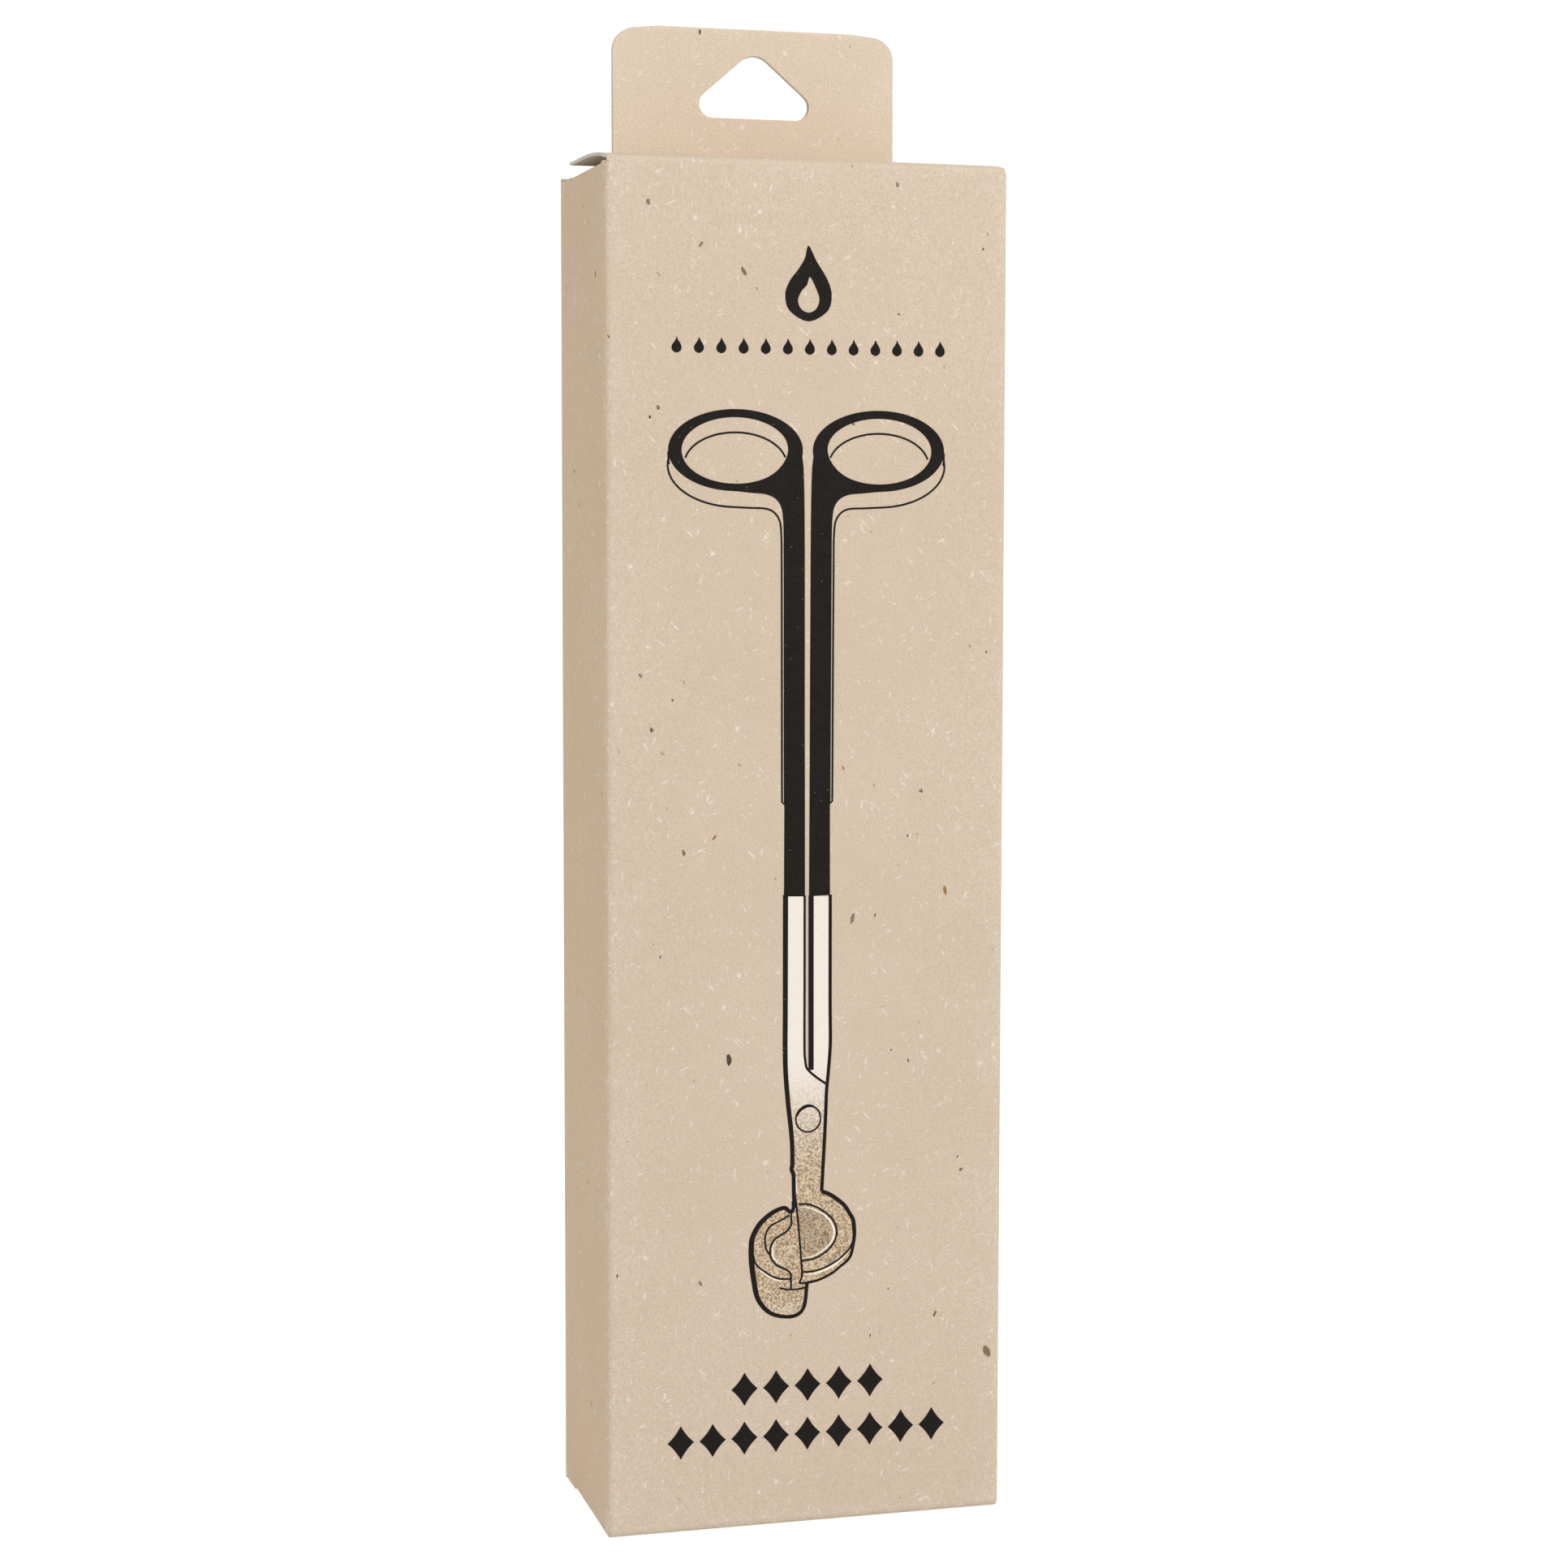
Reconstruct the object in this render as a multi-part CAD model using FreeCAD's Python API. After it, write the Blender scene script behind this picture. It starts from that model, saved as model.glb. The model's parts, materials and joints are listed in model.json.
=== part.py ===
import FreeCAD, Part
import math
import os
from FreeCAD import Vector

# Boxed candle wick trimmer: a folding carton with a hang tab, and the trimmer that it holds.
# Millimetres, +Z up. The origin is the centre of the carton's bottom face,
# and the printed front faces -Y, so left is -X.

os.makedirs("parts", exist_ok=True)

ORIGIN = Vector(0, 0, 0)
X, Y, Z = Vector(1, 0, 0), Vector(0, 1, 0), Vector(0, 0, 1)


# ---------------------------------------------------------------- shared helpers
def save(shape, name):
    shape = shape.removeSplitter()
    if shape.ShapeType == "Compound" and len(shape.Solids) == 1:
        shape = shape.Solids[0]
    assert shape.isValid() and shape.Volume > 0, name
    shape.exportStep("parts/%s.step" % name)


def box(x0, x1, y0, y1, z0, z1):
    return Part.makeBox(x1 - x0, y1 - y0, z1 - z0, Vector(x0, y0, z0))


def polyline(points):
    """Straight edges from each point to the next."""
    return [Part.makeLine(a, b) for a, b in zip(points, points[1:])]


def arc(start, middle, end):
    return Part.Arc(start, middle, end).toShape()


def spline(points):
    curve = Part.BSplineCurve()
    curve.interpolate(points)
    return curve.toShape()


def face_of(edges):
    return Part.Face(Part.Wire(edges))


def rounded_corner(before, corner, after, radius):
    """The start, middle and end of the arc that rounds a corner."""
    back = (before - corner).normalize()
    ahead = (after - corner).normalize()
    half_angle = back.getAngle(ahead) / 2
    setback = radius / math.tan(half_angle)
    centre = corner + (back + ahead).normalize() * (radius / math.sin(half_angle))
    middle = centre + (corner - centre).normalize() * radius
    return corner + back * setback, middle, corner + ahead * setback


def plate(points, thickness, radii=None):
    """A flat plate from 2D points in XY, z from 0 to thickness, each corner with its radius."""
    count = len(points)
    radii = radii or [0] * count
    points = [Vector(x, y, 0) for x, y in points]
    corners = []
    for i, (point, radius) in enumerate(zip(points, radii)):
        if radius > 0:
            after = points[(i + 1) % count]
            corners.append(rounded_corner(points[i - 1], point, after, radius))
        else:
            corners.append((point,))
    edges = []
    for i, corner in enumerate(corners):
        if len(corner) == 3:
            edges.append(arc(*corner))
        edges.append(Part.makeLine(corner[-1], corners[(i + 1) % count][0]))
    return face_of(edges).extrude(Vector(0, 0, thickness))


# ---------------------------------------------------------------- carton, driving dimensions
BOX_W = 65.0            # across the front
BOX_D = 34.0            # front to back
BOX_H = 215.0           # bottom to top fold
HALF_W, HALF_D = BOX_W / 2, BOX_D / 2
BOARD = 0.5             # board thickness
PLY_GAP = 0.05          # between boards that lie against each other
FOLD_GAP = 0.1          # between boards at a fold, and round the dust and glue flaps
CREASE = 0.3            # board left out at a crease, where it bends
TUCK_CREASE = 0.7       # and at the sharper crease between a closure and its tuck flap

LID_TILT = 4.5          # degrees the closed top stands open on its tuck
LID_DEPTH = 32.1        # front crease to tuck crease, top and bottom closures
LID_HALF_W = 32.2
LID_NARROWING = 0.5     # each side draws in by this much towards the tuck
LID_CORNER = 1.2        # rounding of the tuck-side corners
TUCK_LEN = 12.0
TUCK_HALF_W = 26.2
TUCK_CORNER = 6.0
TUCK_ANGLE = 75.0       # inner angle between a closure and its tuck flap

DUST_LEN = 14.0
DUST_FRONT = 2.4        # dust flap starts this far behind the front face
DUST_SLOPE = 0.8        # its front edge runs back this much per mm of length
DUST_BACK = 25.0        # and its back edge stands this far behind the front face
DUST_FRONT_CORNER, DUST_BACK_CORNER = 1.2, 2.0
DUST_OUTER = BOARD + FOLD_GAP                   # carton end to a dust flap's outer face
SIDE_END = DUST_OUTER + BOARD + PLY_GAP         # carton end to the end of a side panel

GLUE_W = 12.0
GLUE_LOW, GLUE_HIGH = 4.0, 210.0
GLUE_BEVEL = 3.0        # its free edge is shorter by this much at each end

TAB_HALF_W = 23.8
TAB_TOP = 240.2
TAB_R = 3.7
TAB_FRONT_RAISE = 0.4   # front ply starts this much above the back ply
# hang hole, a rounded triangle 18.6 wide and 10.1 high
HANG_Z = 225.7                          # its lower edge
HANG_HALF_BASE, HANG_H = 13.0, 11.15    # half base and height of the sharp triangle
HANG_R_LOW, HANG_R_APEX = 2.2, 3.3      # rounding of its corners


# ---------------------------------------------------------------- carton walls
def stand_up(shape, y_back):
    """Turn a flat plate upright, back face at y_back and thickness towards -Y."""
    shape.rotate(ORIGIN, X, 90)
    shape.translate(Vector(0, y_back, 0))
    return shape


def save_walls():
    front_end = BOARD + PLY_GAP
    inner_y = HALF_D - BOARD - PLY_GAP
    side_y_z = (-inner_y, inner_y, SIDE_END, BOX_H - SIDE_END)
    save(box(-HALF_W, HALF_W, -HALF_D, -HALF_D + BOARD, front_end, BOX_H - front_end),
         "front_panel")
    save(box(-HALF_W, HALF_W, HALF_D - BOARD, HALF_D, FOLD_GAP, BOX_H), "back_panel")
    save(box(-HALF_W, -HALF_W + BOARD, *side_y_z), "left_side_panel")
    save(box(HALF_W - BOARD, HALF_W, *side_y_z), "right_side_panel")


def glue_flap():
    """Inside the back panel, along its left edge."""
    x0 = -HALF_W + BOARD + FOLD_GAP
    x1 = x0 + GLUE_W
    flap = plate([(x0, GLUE_LOW), (x1, GLUE_LOW + GLUE_BEVEL),
                  (x1, GLUE_HIGH - GLUE_BEVEL), (x0, GLUE_HIGH)], BOARD)
    return stand_up(flap, HALF_D - BOARD - PLY_GAP)


def hang_tab_ply(y_back, raised):
    """One of the tab's two plies, with the hang hole."""
    z0 = BOX_H + FOLD_GAP + raised
    body = plate([(-TAB_HALF_W, z0), (TAB_HALF_W, z0), (TAB_HALF_W, TAB_TOP),
                  (-TAB_HALF_W, TAB_TOP)], BOARD, [0, 0, TAB_R, TAB_R])
    hole = plate([(-HANG_HALF_BASE, HANG_Z), (HANG_HALF_BASE, HANG_Z), (0, HANG_Z + HANG_H)],
                 BOARD + 2, [HANG_R_LOW, HANG_R_LOW, HANG_R_APEX])
    hole.translate(Vector(0, 0, -1))
    return stand_up(body.cut(hole), y_back)


# ---------------------------------------------------------------- closures
# Each end has a panel hinged on the front, its tuck flap, and a dust flap from each side.
# They are drawn for the top, outer face at z 0.
def closure_panel():
    """Crease at y 0."""
    far = LID_DEPTH - TUCK_CREASE
    far_half_w = LID_HALF_W - LID_NARROWING
    panel = plate([(-LID_HALF_W, CREASE), (LID_HALF_W, CREASE), (far_half_w, far),
                   (-far_half_w, far)], BOARD, [0, 0, LID_CORNER, LID_CORNER])
    panel.translate(Vector(0, 0, -BOARD))
    return panel


def tuck_flap():
    """Hangs from the closure's far edge, on its inner side."""
    flap = plate([(-TUCK_HALF_W, TUCK_CREASE), (TUCK_HALF_W, TUCK_CREASE),
                  (TUCK_HALF_W, TUCK_LEN), (-TUCK_HALF_W, TUCK_LEN)], BOARD,
                 [0, 0, TUCK_CORNER, TUCK_CORNER])
    flap.translate(Vector(0, 0, -BOARD))
    flap.rotate(ORIGIN, X, -(180 - TUCK_ANGLE))
    flap.translate(Vector(0, LID_DEPTH, 0))
    return flap


def dust_flap(side):
    """Lies flat, hinged on its own side wall."""
    front, back = -HALF_D + DUST_FRONT, -HALF_D + DUST_BACK
    x0, x1 = CREASE, CREASE + DUST_LEN
    flap = plate([(x0, front), (x1, front + DUST_SLOPE * DUST_LEN), (x1, back), (x0, back)],
                 BOARD, [0, DUST_FRONT_CORNER, DUST_BACK_CORNER, 0])
    flap.translate(Vector(-HALF_W, 0, -BOARD))
    if side == "right":
        flap = flap.mirror(ORIGIN, X)
    return flap


def save_closures():
    top_crease = Vector(0, -HALF_D, BOX_H)
    for make, name in ((closure_panel, "closure_panel"), (tuck_flap, "tuck_flap")):
        top = make()
        top.translate(top_crease)
        top.rotate(top_crease, X, LID_TILT)
        save(top, "top_" + name)
        bottom = make().mirror(ORIGIN, Z)
        bottom.translate(Vector(0, -HALF_D, 0))
        save(bottom, "bottom_" + name)
    for side in ("left", "right"):
        top = dust_flap(side)
        top.translate(Vector(0, 0, BOX_H - DUST_OUTER))
        save(top, "top_dust_flap_" + side)
        bottom = dust_flap(side).mirror(ORIGIN, Z)
        bottom.translate(Vector(0, 0, DUST_OUTER))
        save(bottom, "bottom_dust_flap_" + side)


save_walls()
save(glue_flap(), "glue_flap")
save(hang_tab_ply(HALF_D, 0.0), "hang_tab_back_ply")
save(hang_tab_ply(HALF_D - BOARD - PLY_GAP, TAB_FRONT_RAISE), "hang_tab_front_ply")
save_closures()

# ---------------------------------------------------------------- trimmer, driving dimensions
# Its own frame: pivot at the origin, handles up +Z, front -Y.
PIVOT_Y, PIVOT_Z = 5.5, 39.9      # pivot point in the carton
LEAN = 2.5                        # degrees the trimmer leans back in the carton
STEEL_T = 3.2                     # thickness of the arms
STEEL_HALF = STEEL_T / 2

COAT = 0.4                        # black handle coat
COAT_THIN = 0.2                   # and its thinner end
COAT_STEP, COAT_END = 60.0, 42.4  # heights above the pivot where the coat steps down, and stops
COAT_ROUND = 0.9                  # rounding of the thick coat's long edges
COAT_CORE_LOW = 8.0               # the steel shape cut from the coat reaches down to here
SHANK_LOW = 12.0                  # lower end of the full-thickness steel shank

# left-hand handle, finished surface
RING_X, RING_Z = 13.6, 128.0      # finger ring's centre, to the side of and above the pivot
RING_A, RING_B = 12.7, 10.0       # ring outside, half width and half height
RING_AI, RING_BI = 10.0, 7.5      # ring inside
RING_HOLE_SHIFT = 0.1             # ring inside is this much further out than its outside
# stations round the ring's outside, degrees: inner shoulder, over the top, to the throat
RING_ANGLES = [12, 35, 62, 96, 130, 158, 180, 204, 240, 268, 292]
SHANK_INNER = -0.55               # x of the shank's inner edge
SHANK_OUTER_TOP, SHANK_OUTER_LOW = -5.15, -4.75     # x of its outer edge
SHOULDER_DROP = 6.0               # inner edge starts to bend this far below the ring's centre
THROAT_DROP = 17.5                # and the outer edge becomes straight this far below it

LAP = 0.04                        # half the running gap between the crossed arms
HEAD_LAP = 0.09                   # the same between the blades, whose bent planes close up
NECK_END = -15.2                  # where the head bends forward
NECK_HALF_W = 2.75                # half width of the neck there
HEAD_BEND = 35.0
HEAD_X, HEAD_V, HEAD_R = -1.0, 10.2, 9.9    # head's round, centre and radius
CUT_X = -1.3                      # line on which the blades meet
CUT_LAP = 0.4                     # each blade passes the line by this much
FRONT_BLADE_T = 2.4
REAR_BLADE_T = 1.4
DISH_R, DISH_DEPTH = 6.8, 0.9     # round recess in the front blade

CUP_DEPTH = 10.4
CUP_WALL = 0.6
CUP_TAPER = 1.0                   # radius lost from rim to floor
CUP_RIM = 1.7                     # width of the rim, inwards
CUP_CORNER = 3.0                  # rounding between side and floor
CUP_CORNER_INSET = 0.02           # outer rounding ends this far inside the floor radius
CUP_GAP = 0.02                    # rim to rear blade
SIN_45 = 0.7071

SCREW_R, PIVOT_HOLE_R = 1.75, 1.80
SCREW_HEAD_R, SCREW_HEAD_H, SCREW_HEAD_ROUND = 2.9, 1.0, 0.55
SCREW_GAP = 0.06                  # screw head to front arm
SCREW_EXTRA = 0.2                 # screw length beyond steel, washer and collar
COLLAR_R, COLLAR_H, COLLAR_ROUND = 2.7, 1.0, 0.4
COLLAR_GAP = 0.02                 # collar to washer
WASHER_R, WASHER_T = 3.0, 0.3
WASHER_GAP = 0.05                 # washer to rear arm

# Outline of the front arm's lap and neck below its shank (x, z), down the left and up the right
NECK_OUTLINE = [
    (SHANK_OUTER_LOW + COAT, 14.0), (-4.1, 9.0), (-3.75, 4.0), (-3.35, -2.0), (-2.9, -8.0),
    (-NECK_HALF_W, NECK_END), (NECK_HALF_W, NECK_END),
    (2.9, -8.0), (3.35, -2.0), (3.9, 3.5), (4.05, 6.4),
    (SHANK_INNER - COAT, 10.4), (SHANK_INNER - COAT, 14.0),
]

# Crescent back of the rear blade (x, distance down the head)
CRESCENT = [
    (-NECK_HALF_W, 1.5), (-3.15, 4.3), (-3.5, 6.3), (-5.2, 8.6), (-6.9, 11.4), (-7.15, 13.6),
    (-5.9, 15.8), (-3.5, 17.4),
]
FOLD_TAB_V = HEAD_V + HEAD_R + 0.35     # lower end of the rear blade, where its tab folds back
FOLD_TAB_T, FOLD_TAB_LEN = 0.8, 4.2


def xz(x, z):
    return Vector(x, 0, z)


def rod(radius, length, y):
    """A cylinder on the pivot axis, from y towards the back."""
    return Part.makeCylinder(radius, length, Vector(0, y, 0), Y)


def lies_at_y(edge, y):
    bounds = edge.BoundBox
    return bounds.YLength < 1e-6 and abs(bounds.Center.y - y) < 1e-4


def extrude_xz(edges, y0, y1):
    solid = face_of(edges).extrude(Vector(0, y1 - y0, 0))
    solid.translate(Vector(0, y0, 0))
    return solid


# ---------------------------------------------------------------- handles
def handle(inset, y_half, z_low):
    """Left-hand finger ring and shank down to z_low, inset from the finished surface."""
    inner_x = SHANK_INNER - inset
    ring = []
    for degrees in RING_ANGLES:
        angle = math.radians(degrees)
        ring.append(xz(-RING_X + (RING_A - inset) * math.cos(angle),
                       RING_Z + (RING_B - inset) * math.sin(angle)))
    inner_top = xz(inner_x, RING_Z - SHOULDER_DROP)
    throat = xz(SHANK_OUTER_TOP + inset, RING_Z - THROAT_DROP)
    inner_low = xz(inner_x, z_low)
    outer_low = xz(SHANK_OUTER_LOW + inset, z_low)
    # inner edge rises and leans into the ring's shoulder
    shoulder = spline([inner_top, xz(inner_x - 0.06, RING_Z - 2.0), ring[0]])
    throat_curve = spline([ring[-1], xz(-7.55, RING_Z - 10.15 + inset),
                           xz(-6.0 + inset * 0.5, RING_Z - 12.1), throat])
    outline = [Part.makeLine(inner_low, inner_top), shoulder, spline(ring), throat_curve]
    outline += polyline([throat, outer_low, inner_low])
    solid = extrude_xz(outline, -y_half, y_half)

    ellipse = Part.Ellipse(ORIGIN, RING_AI + inset, RING_BI + inset).toShape()
    hole = face_of([ellipse]).extrude(Vector(0, 0, 2 * y_half + 4))
    hole.rotate(ORIGIN, X, 90)
    hole.translate(Vector(-RING_X - RING_HOLE_SHIFT, y_half + 2, RING_Z))
    return solid.cut(hole)


def handle_coat():
    """Coat of the left-hand handle: rounded outside, steel-shaped inside."""
    thick_half = STEEL_HALF + COAT

    def is_long_edge(edge):
        """In the front or back face, but not across the lower end."""
        bounds = edge.BoundBox
        at_step = bounds.ZLength < 1e-6 and abs(bounds.ZMin - COAT_STEP) < 1e-6
        in_face = lies_at_y(edge, thick_half) or lies_at_y(edge, -thick_half)
        return in_face and not at_step

    thick = handle(0.0, thick_half, COAT_STEP)
    thick = thick.makeFillet(COAT_ROUND, [e for e in thick.Edges if is_long_edge(e)])
    thin = handle(COAT - COAT_THIN, STEEL_HALF + COAT_THIN, COAT_END)
    # the thin end laps a little way into the thick coat
    thin = thin.common(box(-40, 10, -10, 10, COAT_END - 1, COAT_STEP + 0.5))
    return thick.fuse(thin).cut(handle(COAT, STEEL_HALF, COAT_CORE_LOW))


# ---------------------------------------------------------------- head
# Drawn flat as (x, v, m): v runs down the head, m backwards from the plane of shear.
def to_head(shape):
    """From the flat drawing to its place at the end of the neck."""
    bend = math.radians(HEAD_BEND)
    sin_bend, cos_bend = math.sin(bend), math.cos(bend)
    matrix = FreeCAD.Matrix(1, 0, 0, 0,
                            0, -sin_bend, cos_bend, 0,
                            0, -cos_bend, -sin_bend, NECK_END,
                            0, 0, 0, 1)
    placed = shape.copy()
    placed.transformShape(matrix, True)
    return placed


def flat_points(points):
    return [Vector(x, v, 0) for x, v in points]


def head_plate(edges, m0, m1):
    solid = face_of(edges).extrude(Vector(0, 0, m1 - m0))
    solid.translate(Vector(0, 0, m0))
    return solid


def neck(side, y0, y1):
    """Half-lapped crossing and neck. side 1 is the front arm, -1 its mirror for the rear arm."""
    points = [xz(side * x, z) for x, z in NECK_OUTLINE]
    return extrude_xz(polyline(points + points[:1]), y0, y1)


def pivot_hole():
    return rod(PIVOT_HOLE_R, 20, -10)


def front_blade():
    cut_x = CUT_X - CUT_LAP
    half_chord = math.sqrt(HEAD_R ** 2 - (cut_x - HEAD_X) ** 2)
    upper, lower, right = flat_points([(cut_x, HEAD_V - half_chord), (cut_x, HEAD_V + half_chord),
                                       (HEAD_X + HEAD_R, HEAD_V)])
    blade = head_plate([Part.makeLine(upper, lower), arc(lower, right, upper)],
                       -FRONT_BLADE_T, -HEAD_LAP)
    # the root starts just inside the neck
    root_points = flat_points([(-NECK_HALF_W, -0.02), (NECK_HALF_W, -0.02), (3.6, 2.6),
                               (cut_x, 3.4), (cut_x, 1.6), (-NECK_HALF_W, -0.02)])
    root = head_plate(polyline(root_points), -STEEL_HALF, -HEAD_LAP)
    dish_h = 3
    dish_base = Vector(HEAD_X, HEAD_V, -FRONT_BLADE_T + DISH_DEPTH - dish_h)
    dish = Part.makeCylinder(DISH_R, dish_h, dish_base, Z)
    return to_head(blade.fuse(root).cut(dish))


def front_arm():
    """Left handle, crosses in front, carries the right-hand blade."""
    arm = handle(COAT, STEEL_HALF, SHANK_LOW).fuse(neck(1, -STEEL_HALF, -LAP))
    return arm.fuse(front_blade()).cut(pivot_hole()).removeSplitter()


def rear_blade():
    """Crescent-backed blade, with a tab folded over the catch cup."""
    cut_x = CUT_X + CUT_LAP
    tab_x = CRESCENT[-1][0]
    edges = polyline(flat_points([(-NECK_HALF_W, 0), CRESCENT[0]]))
    edges.append(spline(flat_points(CRESCENT)))
    edges += polyline(flat_points([CRESCENT[-1], (tab_x, FOLD_TAB_V), (cut_x, FOLD_TAB_V),
                                   (cut_x, 2.2), (NECK_HALF_W, 0), (-NECK_HALF_W, 0)]))
    blade = head_plate(edges, HEAD_LAP, REAR_BLADE_T)
    tab = Part.makeBox(cut_x - tab_x, FOLD_TAB_T, FOLD_TAB_LEN,
                       Vector(tab_x, FOLD_TAB_V - 0.05, HEAD_LAP + 0.01))
    return to_head(blade.fuse(tab))


def bend_wedge():
    """Metal round the outside of the bend, behind the running gap."""
    bend = math.radians(HEAD_BEND)
    start, middle, end = [xz(0, 0) + Vector(0, STEEL_HALF * math.cos(angle),
                                            -STEEL_HALF * math.sin(angle))
                          for angle in (0, bend / 2, bend)]
    edges = [Part.makeLine(ORIGIN, start), arc(start, middle, end), Part.makeLine(end, ORIGIN)]
    wedge = face_of(edges).extrude(Vector(2 * NECK_HALF_W, 0, 0))
    wedge.translate(Vector(-NECK_HALF_W, 0, NECK_END))
    return wedge.cut(Part.makeCylinder(LAP, 8, Vector(-4, 0, NECK_END), X))


def rear_arm():
    """Right handle, crosses behind, carries the left-hand blade."""
    shank = handle(COAT, STEEL_HALF, SHANK_LOW).mirror(ORIGIN, X)
    arm = shank.fuse(neck(-1, LAP, STEEL_HALF))
    arm = arm.fuse(bend_wedge()).fuse(rear_blade()).cut(pivot_hole())
    return arm.removeSplitter()


# ---------------------------------------------------------------- catch cup
def half_turn(edges):
    """Revolve a profile of (radius, m) from +v through -X."""
    profile = face_of(edges)
    profile.rotate(ORIGIN, Z, 90)
    return profile.revolve(ORIGIN, Z, 180)


def catch_cup():
    """Half a tapered bucket with an inward rim, closed by a flat wall on its straight side."""
    rim_m = REAR_BLADE_T + CUP_GAP
    floor_m = rim_m + CUP_DEPTH
    corner_m = floor_m - CUP_CORNER
    rim_r, floor_r = HEAD_R, HEAD_R - CUP_TAPER
    corner_r = floor_r - CUP_CORNER
    lip_r = rim_r - CUP_RIM
    under_rim_r = rim_r - CUP_WALL - CUP_TAPER / CUP_DEPTH * CUP_WALL

    def corner_middle(radius):
        return xz(corner_r + radius * SIN_45, corner_m + radius * SIN_45)

    outer_floor = xz(corner_r, floor_m)
    outer_side = xz(floor_r - CUP_CORNER_INSET, corner_m)
    inner_side = xz(floor_r - CUP_WALL, corner_m)
    inner_floor = xz(corner_r, floor_m - CUP_WALL)
    edges = [Part.makeLine(xz(0, floor_m), outer_floor),
             arc(outer_floor, corner_middle(CUP_CORNER), outer_side)]
    edges += polyline([outer_side, xz(rim_r, rim_m), xz(lip_r, rim_m),
                       xz(lip_r, rim_m + CUP_WALL), xz(under_rim_r, rim_m + CUP_WALL),
                       inner_side])
    edges.append(arc(inner_side, corner_middle(CUP_CORNER - CUP_WALL), inner_floor))
    edges += polyline([inner_floor, xz(0, floor_m - CUP_WALL), xz(0, floor_m)])
    shell = half_turn(edges)

    # the flat wall is a slice of the solid bucket
    chamfer = CUP_CORNER * 0.3
    bulk = half_turn(polyline([xz(0, rim_m), xz(rim_r, rim_m), xz(floor_r, corner_m),
                               xz(floor_r - chamfer, floor_m - chamfer), outer_floor,
                               xz(0, floor_m), xz(0, rim_m)]))
    wall = bulk.common(Part.makeBox(CUP_WALL, 40, 40, Vector(-CUP_WALL, -20, 0)))
    cup = shell.fuse(wall).removeSplitter()
    cup.translate(Vector(HEAD_X, HEAD_V, 0))
    return to_head(cup)


# ---------------------------------------------------------------- pivot
WASHER_Y = STEEL_HALF + WASHER_GAP
COLLAR_Y = WASHER_Y + WASHER_T + COLLAR_GAP


def pivot_screw():
    shank_y = -STEEL_HALF - SCREW_GAP
    head_y = shank_y - SCREW_HEAD_H
    shank = rod(SCREW_R, STEEL_T + SCREW_EXTRA + WASHER_T + COLLAR_H, shank_y)
    head = rod(SCREW_HEAD_R, SCREW_HEAD_H, head_y)
    front_rim = [e for e in head.Edges if lies_at_y(e, head_y)]
    return head.makeFillet(SCREW_HEAD_ROUND, front_rim).fuse(shank)


def pivot_washer():
    return rod(WASHER_R, WASHER_T, WASHER_Y).cut(rod(PIVOT_HOLE_R, 2, WASHER_Y - 0.5))


def pivot_collar():
    collar = rod(COLLAR_R, COLLAR_H, COLLAR_Y).cut(rod(SCREW_R, 3, COLLAR_Y - 1))
    # only the outer circle of the back face is wider than 4
    back_rim = [e for e in collar.Edges
                if lies_at_y(e, COLLAR_Y + COLLAR_H) and e.BoundBox.XLength > 4]
    return collar.makeFillet(COLLAR_ROUND, back_rim)


def in_carton(shape):
    placed = shape.copy()
    placed.rotate(ORIGIN, X, -LEAN)       # handles lean towards the back
    placed.translate(Vector(0, PIVOT_Y, PIVOT_Z))
    return placed


coat = handle_coat()
for shape, name in (
    (front_arm(), "front_arm"),
    (rear_arm(), "rear_arm"),
    (coat, "front_handle_coat"),
    (coat.mirror(ORIGIN, X), "rear_handle_coat"),
    (catch_cup(), "catch_cup"),
    (pivot_screw(), "pivot_screw"),
    (pivot_washer(), "pivot_washer"),
    (pivot_collar(), "pivot_collar"),
):
    save(in_carton(shape), name)
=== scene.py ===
# A kraft carton with a printed front and a hang tab, and the CAD trimmer that goes with it.
# The sleeve stands on z = 0, centred on x. Its front faces -y, its right side +x, and the
# hang tab rises from the top edge of the back. Lengths are millimetres unless marked as metres.
import json
import math

import bmesh
import bpy
from mathutils import Matrix, Vector, noise


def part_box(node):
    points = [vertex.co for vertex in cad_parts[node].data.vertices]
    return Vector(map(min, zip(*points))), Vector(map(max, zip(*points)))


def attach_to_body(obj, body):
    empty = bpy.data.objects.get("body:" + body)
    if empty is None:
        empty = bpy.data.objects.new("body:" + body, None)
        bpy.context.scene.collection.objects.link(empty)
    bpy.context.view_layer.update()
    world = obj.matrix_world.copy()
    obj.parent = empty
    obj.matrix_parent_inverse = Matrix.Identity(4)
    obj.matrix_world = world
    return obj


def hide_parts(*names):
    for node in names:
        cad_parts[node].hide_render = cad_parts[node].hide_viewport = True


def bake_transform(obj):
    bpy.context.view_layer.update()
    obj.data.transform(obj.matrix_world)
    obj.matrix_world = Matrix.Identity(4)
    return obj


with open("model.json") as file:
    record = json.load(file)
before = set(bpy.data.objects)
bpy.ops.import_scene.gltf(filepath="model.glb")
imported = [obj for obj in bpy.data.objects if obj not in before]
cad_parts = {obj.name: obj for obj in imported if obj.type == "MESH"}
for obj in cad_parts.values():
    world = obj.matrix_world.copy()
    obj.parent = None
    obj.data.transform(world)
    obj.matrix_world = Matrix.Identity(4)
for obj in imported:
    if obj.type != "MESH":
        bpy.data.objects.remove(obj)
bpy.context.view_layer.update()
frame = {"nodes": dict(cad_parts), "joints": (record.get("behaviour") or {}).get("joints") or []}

MM = 0.001


# ------------------------------------------------------------------ sizes from the frame
def box_mm(node):
    low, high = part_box(node)
    return [v / MM for v in low], [v / MM for v in high]


def joint_yz(name):
    place = joints[name]["pos_m"]
    return place[1] / MM, place[2] / MM


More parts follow.
